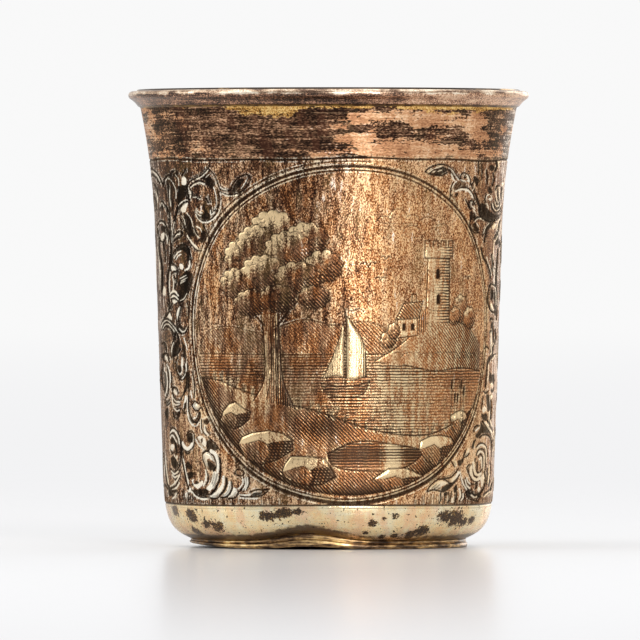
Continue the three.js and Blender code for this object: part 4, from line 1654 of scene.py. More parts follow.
    def far_hills(self):
        ridge = [(-29.5, -2.6), (-27, 0.6), (-22, 1.4), (-16, 0.4), (-8, 2.6), (-3, 1.6), (3, 2.2), (8, 0.9)]
        hills = smooth([*ridge, (14, 2.4), (30, -3.4)], 60)
        below = [(29, -3.6), (-29, -3.6)]
        self.shape(held_in(FILL_REACH, np.vstack([hills, below])), slant=0.36, calm=0.6)
        self.straight(held_in(LINE_REACH, hills), 0.075, dark=0.85)

    def lake(self):
        def shade(s, z):
            depth = (ROUNDEL_Z - 3.4 - z) / 13
            return 0.24 + 0.3 * bell(depth, 0.22, 0.2) + 0.36 * np.exp(-((s - 4) ** 2) / 160) * depth

        right = [(29.5, -3.4), (29.5, -9), (28, -16), (20, -20)]
        left = [(0, -20), (-20, -16), (-29, -9), (-29.5, -3.4)]
        edge = held_in(LINE_REACH, right + left)
        self.shape(edge, level=shade, calm=0.7, worn=lambda s, z: 0.5 * bell(s, 9, 7))
        horizon = [(-29.5, -3.4), (-10, -3.5), (10, -3.4), (29.5, -3.5)]
        self.straight(held_in(HORIZON_REACH, horizon), 0.08)
        self.ripples(-15.5, -4.4, 34)

    def right_bank(self):
        bank = [(4.5, -4.6), (8.5, -2.4), (11.5, 0.4), (15.5, 2.2), (20.5, 2.6), (25, 1.2), (29, -1.8)]
        bank = smooth(bank, 40)
        shore = smooth([(29, -6.4), (24, -5.8), (17, -6.4), (11, -5.4), (4.5, -4.6)], 20)
        whole = held_in(FILL_REACH, np.vstack([bank, shore]))
        self.shape(whole, 0.05, slant=lambda s, z: 0.2 + 0.04 * (s - 12), calm=0.9, worn=0.3)
        self.draw(bank[::8], 0.085)
        self.draw(shore[::5], 0.1)
        for s in np.arange(8, 26, 1.25):
            start = -3.6 + self.rng.uniform(-0.6, 0.8)
            self.draw([(s, start), (s + 1.1, -3.2), (s + 2.0, -4.2)], 0.055, dark=0.75)

    def tower(self):
        shaft = [(14.2, 2), (14.5, 13.2), (19.3, 13.2), (19.6, 2)]
        self.shape(shaft, 0.08, level=lambda s, z: (s - 15.2) / 5.2, calm=1.0, worn=0.45)
        self.straight(shaft[:2], 0.1)
        self.straight(shaft[:1:-1], 0.12)
        head = [(13.8, 15.2), (13.8, 13.2), (20, 13.2), (20, 15.2)]
        self.shape(head, 0.1, level=lambda s, z: (s - 15.6) / 6, calm=1.0, worn=0.45)
        self.straight(head, 0.1)
        for i in range(4):
            s = 13.8 + 1.72 * i
            self.straight([(s, 15.2), (s, 16.2), (s + 1.04, 16.2), (s + 1.04, 15.2)], 0.1)
        for s, q in ((16.2, 9.6), (16.4, 5.2)):
            window = [(s, q), (s, q + 1.5), (s + 0.45, q + 1.9), (s + 0.9, q + 1.5), (s + 0.9, q)]
            self.shape(window, cut=1.0)
        for q in (4.2, 7.4, 10.8):
            self.straight(arc((17, q + 0.6), 2.6, 200, 340, 9, 0.3), 0.055, dark=0.7)

    def house(self):
        front = [(8.6, 2.6), (8.6, -0.6), (12.6, -0.2), (12.6, 2.9)]
        end = [(12.6, -0.2), (12.6, 2.9), (14.4, 4.6), (14.4, 0.6)]
        roof = [(8.2, 2.5), (9.8, 5.4), (13.6, 5.7), (12.8, 2.8)]
        self.shape(front, 0.06, upright=0.1, calm=1.0, worn=0.5)
        self.shape(end, 0.05, upright=0.6, calm=1.0)
        self.shape(roof, 0.09, slant=0.5, calm=1.0, worn=0.2)
        self.straight(round_again(roof), 0.09)
        self.straight(front, 0.08)
        for s in (9.5, 11.2):
            self.shape([(s, 0.7), (s, 1.9), (s + 0.7, 1.9), (s + 0.7, 0.7)], cut=1.0)
        self.straight([(11.4, 5.6), (11.4, 7), (12.2, 7), (12.2, 5.7)], 0.09)

    def bushes(self):
        beside_tower = ((22.4, 4.4, 2.1, 2.5), (25.0, 2.8, 1.8, 2.0), (21.0, 3.2, 1.5, 1.6))
        beside_house = ((6.9, -0.9, 1.5, 1.6), (7.9, 0.6, 1.2, 1.5))
        for x, y, wide, tall in beside_tower + beside_house:
            self.cluster((x, y), wide, tall, 0.3)

    def boat(self):
        keel = [(-5.2, -8.4), (-4.2, -10.2), (2.2, -10.4), (3.6, -8.0)]
        gunwale = [(-5.2, -8.4), (-2.6, -8.9), (1.2, -8.8), (3.6, -8.0)]
        self.shape([*keel, *gunwale[2:0:-1]], 0.1, level=0.8, calm=1.0)
        self.draw(gunwale, 0.09)
        self.draw(keel, 0.09)
        leech = smooth([(-0.6, 3.2), (2.4, -1.6), (3.0, -7.2)], 16)
        sail = np.vstack([leech, smooth([(3.0, -7.2), (1.2, -7.7), (-0.6, -7.6)], 8)])
        self.shape(sail, 0.1, upright=lambda s, z: (s - 0.9) / 3, calm=1.0, worn=0.75)
        self.straight(round_again(sail), 0.085)
        luff = smooth([(-1.1, 2.2), (-2.6, -2.8), (-4.8, -7.6)], 14)
        jib = np.vstack([luff, smooth([(-4.8, -7.6), (-2.6, -7.1), (-1.1, -7.4)], 8)])
        self.shape(jib, 0.08, upright=lambda s, z: (-1.2 - s) / 9 + 0.1, calm=1.0, worn=0.65)
        self.straight(round_again(jib), 0.08)
        self.straight([(-0.85, -8.8), (-0.85, 4.4)], 0.1)
        self.draw([(-0.85, 4.3), (0.4, 4.0), (1.4, 4.4), (2.4, 4.0)], 0.08)
        for i in range(6):
            q = -10.9 - 0.55 * i
            self.straight([(-3.8 + 0.45 * i, q), (2.6 - 0.3 * i, q)], 0.11, dark=0.95)

    def near_bank(self):
        def earth(s, z):
            """Shade right of the tree's foot, and towards the frame."""
            shade = 0.75 * bell(s, -5, 8) * bell(z, ROUNDEL_Z - 16, 3.5)
            edge = np.hypot(s / ROUNDEL_WIDE, z - ROUNDEL_Z) / FILL_REACH
            return 0.16 + shade + 0.95 * np.clip((edge - 0.8) / 0.2, 0, 1) ** 1.5

        a = np.radians(np.linspace(-20, -160, 30))
        bottom = STONE_REACH * np.column_stack([ROUNDEL_WIDE * np.cos(a), np.sin(a)])
        bank = held_in(FILL_REACH, np.vstack([self.brow, bottom]))
        self.shape(
            bank,
            0.05,
            slant=earth,
            calm=0.9,
            worn=lambda s, z: 0.6 - 1.6 * earth(s, z),
            cut=lambda s, z: 2.4 * (earth(s, z) - 0.72),
        )
        self.straight(held_in(LINE_REACH, self.brow), 0.12, 0.11)

    def pool(self):
        far_edge, near_edge = [(1, -18.6), (8, -19), (14, -20.4)], [(11, -22.8), (3, -23.6), (-3, -22.6)]
        edge = smooth([(-4, -20.6), *far_edge, *near_edge, (-4, -20.6)], 50)

        def water(s, z):
            return 1.25 - np.abs(z - ROUNDEL_Z + 20.6) * 0.32 - 0.5 * bell(s, 8, 2.4)

        self.shape(edge[:-1], -0.03, level=water, calm=1.0, worn=lambda s, z: bell(s, 8, 2))
        self.straight(edge, 0.11)

    def stones(self):
        left = ((-21.5, -14.2, 3.2, 2.3), (-15.5, -19.2, 5.0, 3.1), (-7.5, -23.6, 4.8, 2.8))
        right = ((17.5, -20.0, 4.4, 3.0), (9.5, -25.2, 4.6, 2.2), (23.0, -15.4, 2.6, 2.4))
        for x, y, wide, tall in left + right:
            self.boulder((x, y), wide, tall)

    def grass_on_brow(self):
        for s in np.arange(-26, 27, 1.7):
            spot = self.brow[np.argmin(np.abs(self.brow[:, 0] - s))]
            if np.hypot(spot[0] / ROUNDEL_WIDE, spot[1]) < GRASS_REACH:
                self.grass(spot - (0, 0.3), self.rng.uniform(1.0, 2.1), 4)

    def great_tree(self):
        left = [(-17.6, -11.6), (-15.6, -8.4), (-15.2, -3), (-15.8, 3.6)]
        right = [(-12.6, 3.6), (-12.4, -2.4), (-11.8, -8), (-9.8, -12.8)]
        trunk = [*left, *right, (-13.2, -12)]
        self.shape(trunk, 0.12, upright=lambda s, z: 0.25 + (s + 15) / 4.5, calm=1.0, worn=0.25)
        self.draw(left, 0.11)
        self.draw(right, 0.12)
        self.draw([(-15.0, -11.4), (-14.0, -6), (-14.0, 0)], 0.07)
        self.draw([(-13.0, -11.0), (-12.9, -5), (-13.2, 1)], 0.07)
        self.draw([(-15.2, 1.5), (-18.4, 5), (-20.6, 7.5)], 0.16)
        self.draw([(-12.8, 1.5), (-9.6, 5.4), (-7.6, 7.2)], 0.16)
        crown = (
            (-19.5, 13.6, 3.6, 3.0, 0.1), (-13.5, 18.2, 4.4, 3.4, 0.06), (-7.6, 16.4, 3.8, 3.1, 0.2),
            (-16.6, 15.8, 3.8, 3.2, 0.12), (-10.8, 14.6, 4.4, 3.4, 0.22), (-4.6, 11.8, 3.4, 2.9, 0.32),
            (-20.6, 8.8, 3.5, 2.8, 0.2), (-15.4, 10.6, 4.4, 3.3, 0.22), (-9.2, 9.6, 4.2, 3.1, 0.36),
            (-18.0, 5.4, 3.2, 2.4, 0.4), (-12.6, 6.2, 3.6, 2.5, 0.5), (-6.4, 6.4, 2.9, 2.1, 0.55),
        )
        for x, y, wide, tall, shade in crown:
            self.cluster((x, y), wide, tall, shade)

    def reeds(self):
        for s in (20.4, 21.3, 22.0, 23.0, 23.8):
            top = -15.2 + self.rng.uniform(4.5, 7.5)
            self.draw([(s, -15.8), (s + 0.15, -12.5), (s + self.rng.uniform(-0.5, 0.9), top)], 0.075)
            self.straight([(s + 0.2, top - 1.3), (s + 0.25, top)], 0.2)

    def birds(self):
        wings = ((-1, 0.35), (-0.4, 0.5), (0, 0), (0.4, 0.5), (1, 0.35))
        for x, y, size in ((3.2, 11.8, 1.3), (6.4, 13.0, 1.0), (5.4, 9.4, 0.9), (24.2, 9.6, 0.9)):
            self.draw([(x + dx * size, y + dy * size) for dx, dy in wings], 0.075)


def border_lines(sheet):
    """The lines below the neck and above the base, cut by hand."""
    place = Place(sheet, 0)
    s = np.linspace(-math.pi, math.pi, 500) * ROLL_RADIUS
    upper = UPPER_LINE_Z + 0.16 * np.sin(s / 7.1 + 0.6) + 0.1 * np.sin(s / 2.9)
    lower = LOWER_LINE_Z + 0.06 * np.sin(s / 9 + 1)
    line(place, np.column_stack([s, upper]), width=0.16, depth=0.12)
    line(place, np.column_stack([s, lower]), width=0.17, depth=0.1, burr=0.35)
    line(place, np.column_stack([s, lower - 0.55]), width=0.06, depth=0.04, dark=0.5, burr=0.2)


# Soil, gilding, wear and painted light and shade: degrees right of the front, and heights in millimetres

# Bare patches on the neck: angle, height, half-width in degrees and half-height
BARE_PATCHES = (
    (13, 74.9, 10, 1.2), (31, 74.5, 8, 1.5), (52, 74.2, 6, 1.7), (8, 71.2, 6, 1.3), (27, 69.4, 13, 1.3),
    (56, 71.6, 5, 1.1), (105, 73, 12, 1.6), (150, 70.6, 15, 1.4), (200, 74.6, 10, 1.5),
)

# Tarnish spots on the base: angle, height and size
BLOTCHES = (
    (-71, 6.5, 1.3), (-58, 6.0, 1.2), (-57, 5.1, 1.0), (-60, 2.9, 1.2), (-50, 4.3, 1.1), (-45, 3.9, 1.3),
    (-22, 5.7, 1.3), (-16, 6.1, 1.5), (-11, 6.3, 1.0), (14, 2.8, 0.5), (16, 4.5, 0.7), (20, 5.4, 0.4),
    (24, 5.9, 0.6), (21, 2.2, 0.5), (26, 2.4, 0.7), (33, 2.6, 1.0), (37, 3.2, 1.3), (46, 5.6, 1.6),
    (52, 5.3, 1.9), (57, 4.6, 1.2), (63, 4.9, 1.0),
    (120, 4.6, 2.2), (165, 5.6, 1.6), (215, 4.2, 2.0), (250, 5.6, 1.4),
)


def degrees_past(turn, spot):
    return (turn - spot + 180) % 360 - 180


def gilt_left(turn, z):
    """Gilding below the lip: a patch left of the middle, and a strip on the right."""
    patch = 0.8 * bell(z, 76.2, 1.3) * bell(turn, -19, 12)
    strip = 0.3 * rise(z, 76, 76.4) * rise(turn, -25, -10) * fade(turn, 60, 90)
    return patch + strip + 0.36 * rise(z, 74.9, 75.7) * rise(turn, 16, 34) * fade(turn, 58, 84)


def neck_soil_and_highlight(turn, z):
    soil = 0.6 + 0.24 * bell(turn, -26, 26) - 0.1 * bell(turn, 22, 14)
    for spot, level, wide, tall in BARE_PATCHES:
        soil -= 0.5 * bell(degrees_past(turn, spot), 0, wide) * bell(z, level, tall)
    # Less soil at the left edge: a painted highlight where the edge catches the backdrop
    return soil + 0.12 * bell(turn, 30, 45) - 0.2 * bell(turn, -84, 13)


def wall_soil_and_highlight(turn, z, arc_mm, outside):
    """Soil left of the middle and in the foliage, less of it low down beside the ring, and less above the
    front roundel, where it gives a painted highlight.
    """
    soil = 0.46 + 0.28 * bell(turn, -16, 20) * (1 - 0.8 * fade(z, 26, 46)) - 0.05 * bell(turn, 32, 26)
    upper = 0.3 - 0.1 * np.tanh(turn / 30)
    in_leaves = upper - (upper + 0.06) * fade(z, 18, 46)
    soil += in_leaves * rise(outside, 0.2, 2) * rise(arc_mm, 22, 30)
    beside_ring = rise(outside, 0.2, 1.2) * fade(outside, 4, 7)
    soil += fade(z, 18, 36) * (0.16 * rise(outside, 5, 9) - 0.18 * beside_ring)
    # Less soil above the front roundel: a painted highlight
    return soil - 0.2 * bell(turn, 9, 9) * bell(z, 64, 5)


def painted_foot_reflection(turn, z):
    """A painted dark reflection of the foot, just above it: more of it at the knock and less on the right."""
    knock = bell(turn, math.degrees(DENT_ANGLE), 13)
    return fade(z, 1.9, 3.2 + 1.4 * knock) * (0.8 + 0.18 * knock - 0.38 * bell(turn, 26, 26))


def painted_highlights(turn, z):
    """Painted highlight streaks at both sides, and a painted highlight spot above the front roundel."""
    right = 0.42 * rise(turn, 62, 80) * fade(turn, 84, 100)
    left = 0.34 * fade(turn, -82, -62) * rise(turn, -100, -84)
    return right + left + 0.33 * bell(turn, 5, 8) * bell(z, 63, 6)


def zones(sheet):
    """Where the neck, the base and the foliage lie, how soiled, gilded and worn they are, and where light and
    shade are painted on them.
    """
    angle, z = np.meshgrid(sheet.angle, sheet.z)
    turn = np.degrees(wrapped(angle))
    arc_mm = np.abs(wrapped(2 * (angle - ROUNDEL_ANGLE))) / 2 * ROLL_RADIUS
    outside = np.hypot(arc_mm / ROUNDEL_WIDE, z - ROUNDEL_Z) - ROUNDEL_OUTER
    sheet.neck[:] = rise(z, UPPER_LINE_Z - 0.15, UPPER_LINE_Z + 0.15)
    sheet.base[:] = fade(z, LOWER_LINE_Z - 0.15, LOWER_LINE_Z + 0.1)
    sheet.leafy[:] = rise(outside, 0.2, 2) * (1 - sheet.neck) * (1 - sheet.base)
    # Greys the painted highlight spot above the front roundel
    sheet.leafy[:] += bell(turn, 3, 7) * bell(z, 63, 5)
    sheet.gilt[:] = gilt_left(turn, z)
    # Painted highlights: streaks at both sides and a spot above the front roundel
    sheet.silvered[:] = painted_highlights(turn, z)
    wall = wall_soil_and_highlight(turn, z, arc_mm, outside)
    sheet.grime[:] = wall + (neck_soil_and_highlight(turn, z) - wall) * sheet.neck
    low_strip = bell(z, UPPER_LINE_Z + 1.2, 1.1) * (0.6 + 0.4 * np.cos(np.radians(2 * turn - 50)))
    sheet.grime[:] -= 0.28 * low_strip * sheet.neck
    # On the base: the painted dark reflection of the foot
    sheet.grime[:] += (painted_foot_reflection(turn, z) - sheet.grime) * sheet.base
    for spot, level, size in BLOTCHES:
        across = np.radians(degrees_past(turn, spot)) * ROLL_RADIUS
        d = np.hypot(across * 0.7, (z - level) * 1.3)
        raise_to(sheet.blotch, ..., np.clip(1 - d / (1.6 * size), 0, 1))


def engraved_sheet():
    sheet = Sheet()
    zones(sheet)
    back = ROUNDEL_ANGLE + math.pi
    for place in (Place(sheet, ROUNDEL_ANGLE), Place(sheet, back, -1)):
        side_scrolls(place)
    for middle, flip in ((ROUNDEL_ANGLE, -1), (ROUNDEL_ANGLE, 1), (back, -1), (back, 1)):
        lower_cuts(Place(sheet, middle, flip))
    for motifs, side in ((LEFT_FOLIAGE, -math.pi / 2), (RIGHT_FOLIAGE, math.pi / 2)):
        mirrored = Place(sheet, 2 * (ROUNDEL_ANGLE + side), -1)
        for pen in (Pen(mirrored), Pen(Place(sheet, 0))):
            for motif in motifs:
                motif(pen)
    Landscape(Place(sheet, ROUNDEL_ANGLE), seed=11).cut_all()
    Landscape(Place(sheet, back, -1), seed=12).cut_all()
    for middle in (ROUNDEL_ANGLE, back):
        frame_lines(Place(sheet, middle))
    border_lines(sheet)
    return sheet


# Meshes


def node_group(name, inputs):
    """An empty Geometry Nodes tree and the identifiers of its named inputs."""
    tree = bpy.data.node_groups.new(name, "GeometryNodeTree")
    tree.is_modifier = True
    tree.interface.new_socket("Geometry", in_out="OUTPUT", socket_type="NodeSocketGeometry")
    sockets = [tree.interface.new_socket(n, in_out="INPUT", socket_type=f"NodeSocket{k}") for n, k in inputs]
    return tree, {s.name: s.identifier for s in sockets}


def place_round_axis(g, shape, radius, height, angle):
    """Sets the points of a shape at a radius, height and angle right of the front."""
    x = radius * angle.math("SINE")
    y = radius * angle.math("COSINE") * -1
    spot = g.add("ShaderNodeCombineXYZ", None, {"X": x, "Y": y, "Z": height})
    return g.add("GeometryNodeSetPosition", None, {"Geometry": shape, "Position": spot})


def end_tree(g, shape, given):
    whole = g.add("GeometryNodeRealizeInstances", None, {"Geometry": shape})
    painted = g.add("GeometryNodeSetMaterial", None, {"Geometry": whole, "Material": given.out("Finish")})
    g.add("NodeGroupOutput", None, {"Geometry": painted})


def roll_tree():
    """Rolls a flat slab onto the wall: X runs round it, Y out of it and Z up along its profile."""
    tree, ids = node_group(
        "roll_onto_wall",
        (("Geometry", "Geometry"), ("Profile", "Object"), ("Roll radius", "Float"), ("Finish", "Material")),
    )
    g = Graph(tree)
    given = g.add("NodeGroupInput", output="Geometry")
    flat = g.split(g.add("GeometryNodeInputPosition"))
    rail = g.add("GeometryNodeObjectInfo", None, {"Object": given.out("Profile")}, "Geometry")
    rail_point = g.add(
        "GeometryNodeSampleCurve", {"mode": "LENGTH"}, {"Curves": rail, "Length": flat.out("Z")}, "Position"
    )
    spot = g.split(rail_point)
    way = g.split(rail_point.out("Tangent"))
    radius = spot + flat.out("Y") * way.out("Z")
    height = spot.out("Z") - flat.out("Y") * way
    rolled = place_round_axis(g, given, radius, height, flat / given.out("Roll radius"))
    end_tree(g, rolled, given)
    return tree, ids


def turn_tree():
    """Turns a section round the axis and closes its seam."""
    tree, ids = node_group(
        "turn_section",
        (("Section", "Object"), ("Section points", "Int"), ("Segments", "Int"), ("Finish", "Material")),
    )
    g = Graph(tree)
    given = g.add("NodeGroupInput", output="Section")
    points = given.out("Section points")
    across = given.out("Segments") + 1
    grid = g.add(
        "GeometryNodeMeshGrid",
        None,
        {"Size X": 1.0, "Size Y": 1.0, "Vertices X": across, "Vertices Y": points},
        "Mesh",
    )
    flat = g.split(g.add("GeometryNodeInputPosition"))
    index = ((flat.out("Y") + 0.5) * (points - 1)).math("ROUND")
    section = g.add("GeometryNodeObjectInfo", None, {"Object": given}, "Geometry")
    spot = g.add(
        "GeometryNodeSampleIndex",
        {"data_type": "FLOAT_VECTOR", "domain": "POINT"},
        {"Geometry": section, "Value": g.add("GeometryNodeInputPosition"), "Index": index},
    )
    spot = g.split(spot)
    turned = place_round_axis(g, grid, spot, spot.out("Z"), (flat + 0.5) * (2 * math.pi))
    closed = g.add("GeometryNodeMergeByDistance", None, {"Geometry": turned, "Distance": 1e-7})
    end_tree(g, closed, given)
    return tree, ids


def rail_object(name, points):
    """A profile in millimetres as a curve in the XZ plane."""
    data = bpy.data.curves.new(name, "CURVE")
    data.dimensions = "3D"
    spline = data.splines.new("POLY")
    spline.points.add(len(points) - 1)
    spline.points.foreach_set("co", [c for r, z in points for c in (r / 1000, 0, z / 1000, 1)])
    return new_object(name, data)


def settle(name, source, tree, values):
    """Runs a tree on a mesh and keeps the result as a plain piece, with its hand-made unevenness."""
    maker = new_object(name + "_maker", source)
    modifier = maker.modifiers.new("nodes", "NODES")
    modifier.node_group = tree[0]
    for label, value in values.items():
        modifier[tree[1][label]] = value
    graph = bpy.context.evaluated_depsgraph_get()
    made = maker.evaluated_get(graph)
    mesh = bpy.data.meshes.new_from_object(made, preserve_all_data_layers=True, depsgraph=graph)
    bpy.data.objects.remove(maker)
    mesh.name = name
    co = np.empty(len(mesh.vertices) * 3)
    mesh.vertices.foreach_get("co", co)
    co = knocked(co.reshape(-1, 3) * 1000) / 1000
    mesh.vertices.foreach_set("co", co.ravel())
    mesh.calc_loop_triangles()
    corners = np.empty(len(mesh.loop_triangles) * 3, np.int32)
    mesh.loop_triangles.foreach_get("vertices", corners)
    tri = co[corners.reshape(-1, 3)]
    if np.einsum("ij,ij->", tri[:, 0], np.cross(tri[:, 1], tri[:, 2])) < 0:
        mesh.flip_normals()
    mesh.polygons.foreach_set("use_smooth", np.ones(len(mesh.polygons), bool))
    mesh.set_sharp_from_angle(angle=SHARP_EDGE)
    mesh.update()
    return new_object(name, mesh)


def slab_face(arc_mm, height, length):
    """A face's points: along the wall, out of it and up its profile."""
    return np.stack(np.broadcast_arrays(arc_mm[None], height, length[:, None]), -1)


def quads(ids, turn):
    corners = (ids[:-1, :-1], ids[:-1, 1:], ids[1:, 1:], ids[1:, :-1])
    return np.stack(corners[::turn], -1).reshape(-1, 4)


def slab_sides(front, back, some_rows, some_columns):
    """Faces round the slab's edges, from its fine front to its coarse back."""
    edges = (
        (front[0], back[0], some_columns, 1),
        (front[-1], back[-1], some_columns, -1),
        (front[:, 0], back[:, 0], some_rows, -1),
        (front[:, -1], back[:, -1], some_rows, 1),
    )
    sides = []
    for front_edge, back_edge, stops, turn in edges:
        for i in range(len(stops) - 1):
            loop = [*front_edge[stops[i] : stops[i + 1] + 1][::-1], back_edge[i], back_edge[i + 1]]
            sides.append(loop[::turn])
    return sides


def mesh_of(points, faces, sides):
    """A mesh of quads, and of sides with any number of corners."""
    loops = np.concatenate([*(f.ravel() for f in faces), *sides])
    sizes = np.concatenate([*(np.full(len(f), 4) for f in faces), [len(s) for s in sides]])
    mesh = bpy.data.meshes.new("slab")
    mesh.vertices.add(len(points))
    mesh.vertices.foreach_set("co", points.ravel())
    mesh.loops.add(len(loops))
    mesh.loops.foreach_set("vertex_index", loops.astype(np.int32))
    mesh.polygons.add(len(sizes))
    mesh.polygons.foreach_set("loop_start", np.concatenate([[0], np.cumsum(sizes)[:-1]]).astype(np.int32))
    mesh.update(calc_edges=True)
    mesh.validate()
    return mesh


def mark_points(mesh, sheet, columns, back_count):
    """Writes the sheet's traces, and each point's place from the nearer roundel, on the slab's points."""
    plain = np.zeros(back_count)
    for name in Sheet.TRACES:
        values = np.concatenate([getattr(sheet, name)[:, columns].ravel(), plain])
        mesh.attributes.new(name, "FLOAT", "POINT").data.foreach_set("value", np.clip(values, 0, 1))
    near = wrapped(2 * (sheet.angle[columns] - ROUNDEL_ANGLE)) / 2 * ROLL_RADIUS
    s, z = np.meshgrid(near, sheet.z)
    unrolled = np.zeros((s.size + back_count, 3))
    unrolled[: s.size, 0] = s.ravel()
    unrolled[: s.size, 1] = z.ravel()
    mesh.attributes.new("unrolled", "FLOAT_VECTOR", "POINT").data.foreach_set("vector", unrolled.ravel())


def slab(sheet, first, count):
    """A stretch of the engraved sheet as a closed flat slab, engraved on its outer face."""
    columns = np.arange(first, first + count + 1)
    arc_mm = (columns * 2 * math.pi / COLUMNS - math.pi) * ROLL_RADIUS
    columns %= COLUMNS
    rows = len(sheet.t)
    some_rows = np.unique(np.linspace(0, rows - 1, rows // BACK_STEP).astype(int))
    some_columns = np.unique(np.linspace(0, count, count // BACK_STEP).astype(int))
    front = slab_face(arc_mm, sheet.height[:, columns], sheet.t)
    back = slab_face(arc_mm[some_columns], -SKIN, sheet.t[some_rows])
    front_count, back_count = front[..., 0].size, back[..., 0].size
    front_ids = np.arange(front_count).reshape(front.shape[:2])
    back_ids = front_count + np.arange(back_count).reshape(back.shape[:2])
    sides = slab_sides(front_ids, back_ids, some_rows, some_columns)
    points = np.concatenate([front.reshape(-1, 3), back.reshape(-1, 3)]) / 1000
    mesh = mesh_of(points, [quads(front_ids, 1), quads(back_ids, -1)], sides)
    mark_points(mesh, sheet, columns, back_count)
    return mesh


def cup_section():
    """The cup behind its engraved skin: underside, backing, mouth edge and inside."""
    r = np.linspace(0, DOME_RADIUS, 24)
    dome = np.column_stack([r, BASE_Z + DOME_RISE * (1 - (r / DOME_RADIUS) ** 2)])
    wall = wall_profile()
    seat = np.linspace(LIP_Z, EDGE_Z, 6)
    lip_seat = np.column_stack([wall_radius(seat), seat])
    backing = left_of(wall, SKIN + SKIN_GAP)[2:-2:3]
    true_outside = np.vstack([dome, wall[::2], lip_seat[1:]])
    inside = left_of(true_outside, WALL)
    inside[0] = (0, dome[0, 1] + WALL)
    inside[-1] = (lip_seat[-1, 0] - WALL, EDGE_Z)
    middle = (lip_seat[-1] + inside[-1]) / 2
    edge = arc(middle, WALL / 2, 0, 180, 12)[1:-1]
    seat_end = np.array([[SEAT_OUTSIDE, BASE_Z]])
    return np.vstack([dome, seat_end, backing, lip_seat, edge, inside[::-1]])


def lip_section():
    seat = np.linspace(EDGE_Z, LIP_Z, 8)
    seat = np.column_stack([wall_radius(seat) + 0.01, seat])
    nose = (seat[0, 0] + LIP_REACH - LIP_NOSE, EDGE_Z - LIP_NOSE)
    low = np.array([seat[-1, 0] + LIP_LEDGE, LIP_Z])
    bead = arc(nose, LIP_NOSE, -62, 90, 18)
    t = np.linspace(0, 1, 9)[:-1, None]
    hollow = LIP_HOLLOW * np.sin(math.pi * t) * np.array([-0.75, 0.66])
    return round_again(np.vstack([low * (1 - t) + bead[0] * t + hollow, bead, seat]))


def foot_section():
    reed = (FOOT_RADIUS + FOOT_REED_OUT - FOOT_REED, FOOT_REED)
    lower = arc(reed, FOOT_REED, -90, 78, 16)
    upper = arc((FOOT_RADIUS - UPPER_REED_IN, UPPER_REED_Z), UPPER_REED, -60, 70, 9)
    seat = [(FOOT_RADIUS, BASE_Z), (FOOT_INSIDE, BASE_Z)]
    inner_edge = [(FOOT_INSIDE, 0.25), (FOOT_INSIDE + 0.08, 0.06), (FOOT_INSIDE + 0.25, 0)]
    return round_again(np.vstack([lower, upper, seat, inner_edge]))


def fillet_section(corner, along_a, along_b):
    """A hollow fillet of solder in a corner."""
    corner, a, b = (np.asarray(v, float) for v in (corner, along_a, along_b))
    t = np.linspace(0, 1, 8)[:, None]
    hollow = (corner + a) * (1 - t) ** 2 + 2 * (corner + 0.25 * (a + b)) * t * (1 - t) + (corner + b) * t**2
    return round_again(np.vstack([[corner], hollow]))


TURN = turn_tree()
ROLL = roll_tree()


def turned_piece(name, section, finish, node):
    rail = rail_object(name + "_section", section)
    values = {"Section": rail, "Section points": len(section), "Segments": SEGMENTS, "Finish": finish}
    piece = settle(name, bpy.data.meshes.new(name), TURN, values)
    bpy.data.objects.remove(rail)
    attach(piece, "root")
    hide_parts(node)


def wall_pieces(sheet, finish):
    rail = rail_object("wall_profile", wall_profile())
    count = COLUMNS // len(SECTORS)
    for i, side in enumerate(SECTORS):
        first = COLUMNS // 3 + i * count
        values = {"Profile": rail, "Roll radius": ROLL_RADIUS / 1000, "Finish": finish}
        piece = settle("wall_" + side, slab(sheet, first, count), ROLL, values)
        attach(piece, "root")
        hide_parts("beaker_body")
    bpy.data.objects.remove(rail)


def make_beaker():
    solder = solder_finish()
    wall_pieces(engraved_sheet(), WallFinish().make())
    turned_piece("cup_inside", cup_section(), inside_finish(), "beaker_body")
    turned_piece("lip_band", lip_section(), lip_finish(), "lip_band")
    turned_piece("foot_ring", foot_section(), foot_finish(), "foot_ring")
    down, outwards, inwards = (0, -SOLDER_LEG), (SOLDER_LEG, 0), (-SOLDER_LEG, 0)
    lip_corner = (wall_radius(LIP_Z), LIP_Z)
    down_wall = (wall_radius(LIP_Z - SOLDER_LEG) - wall_radius(LIP_Z), -SOLDER_LEG)
    seams = (
        ("lip_solder_seam", lip_corner, down_wall, outwards),
        ("foot_solder_seam_outer", (FOOT_RADIUS, BASE_Z), down, outwards),
        ("foot_solder_seam_inner", (FOOT_INSIDE, BASE_Z), down, inwards),
    )
    for name, *corner in seams:
        turned_piece(name, fillet_section(*corner), solder, name)


# Studio

BACKGROUND = 0.945  # linear white of the backdrop
TABLE_HALF = 9  # metres from the table's middle to its edges


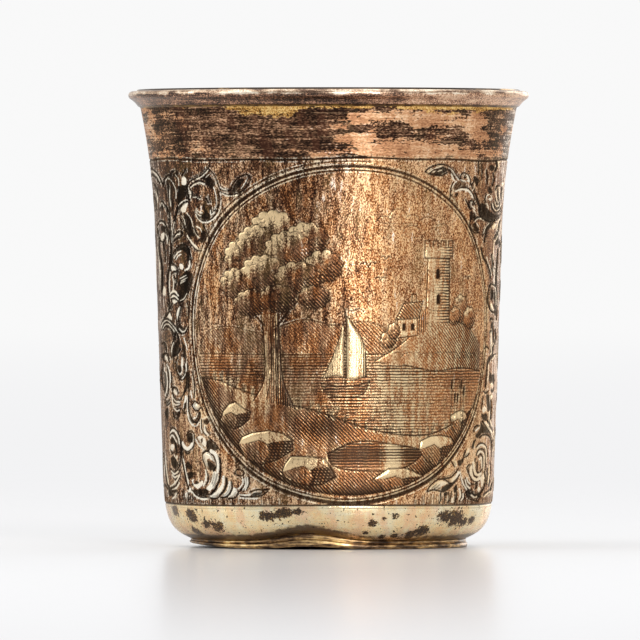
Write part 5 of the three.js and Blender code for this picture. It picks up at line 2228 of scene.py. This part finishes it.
def make_floor():
    """A pale, faintly glossy table that runs out into the white of the background."""
    material, g, place = new_material("white_table")
    cloud = g.noise(place, 3, 2.0)
    tone = g.mix(cloud, (0.815, 0.815, 0.83, 1), (0.835, 0.835, 0.85, 1))
    gloss = {"Base Color": tone, "Roughness": 0.22, "Specular IOR Level": 0.22}
    board = g.add("ShaderNodeBsdfPrincipled", None, gloss)
    away = g.add("ShaderNodeVectorMath", {"operation": "LENGTH"}, {0: place}, "Value")
    fading = g.mix(away.step(0.6, 7), (0.945, 0.945, 0.955, 1), (1, 1, 1, 1))
    white = g.add("ShaderNodeEmission", None, {"Color": fading, "Strength": BACKGROUND})
    table = g.add("ShaderNodeMixShader", None, {0: away.step(0.1, 0.75), 1: board, 2: white})
    g.add("ShaderNodeOutputMaterial", None, {"Surface": table})
    mesh = bpy.data.meshes.new("table")
    corners = [(x * TABLE_HALF, y * TABLE_HALF, 0) for x, y in ((-1, -1), (1, -1), (1, 1), (-1, 1))]
    mesh.from_pydata(corners, [], [(0, 1, 2, 3)])
    mesh.materials.append(material)
    floor = new_object("table", mesh)


def make_light(name, place, aim, size, power):
    data = bpy.data.lights.new(name, "AREA")
    data.shape = "RECTANGLE"
    data.size, data.size_y = size
    data.energy = power
    lamp = new_object(name, data)
    lamp.location = place
    lamp.rotation_euler = (Vector(aim) - Vector(place)).to_track_quat("-Z", "Y").to_euler()


def make_studio():
    make_floor()
    world = bpy.data.worlds.new("studio")
    bpy.context.scene.world = world
    world.use_nodes = True
    g = Graph(world.node_tree)
    way = g.split(g.add("ShaderNodeTexCoord", output="Generated"))
    back = way.out("Y").step(-0.6, 0.3)
    aside = way.step(0.15, 0.75) * 0.4 + way.step(-0.2, -0.85) * 0.15 + way.out("Z").step(0.35, 0.8) * 0.4
    room = 0.36 + 0.64 * back + aside * (1 - back)
    ray = g.add("ShaderNodeLightPath", output="Is Camera Ray")
    level = ray.out("Is Diffuse Ray") * 0.55 + ray.out("Is Glossy Ray") * room + ray * BACKGROUND
    sky = g.add("ShaderNodeBackground", None, {"Color": (1, 1, 1, 1), "Strength": level})
    g.add("ShaderNodeOutputWorld", None, {"Surface": sky})
    make_light("soft_key", (0.4, -1.15, 0.4), (0, 0, 0.04), (0.28, 0.9), 7.5)
    make_light("soft_right", (0.5, 1.0, 0.3), (0, 0, 0.04), (0.3, 0.8), 2.2)
    make_light("soft_left", (-0.9, -0.2, 0.6), (0, 0, 0.04), (0.5, 0.9), 2.5)
    make_light("soft_top", (0, 0.1, 1.1), (0, 0, 0), (1.2, 1.2), 3.5)
    bpy.context.scene.view_settings.view_transform = "Standard"


make_beaker()
make_studio()
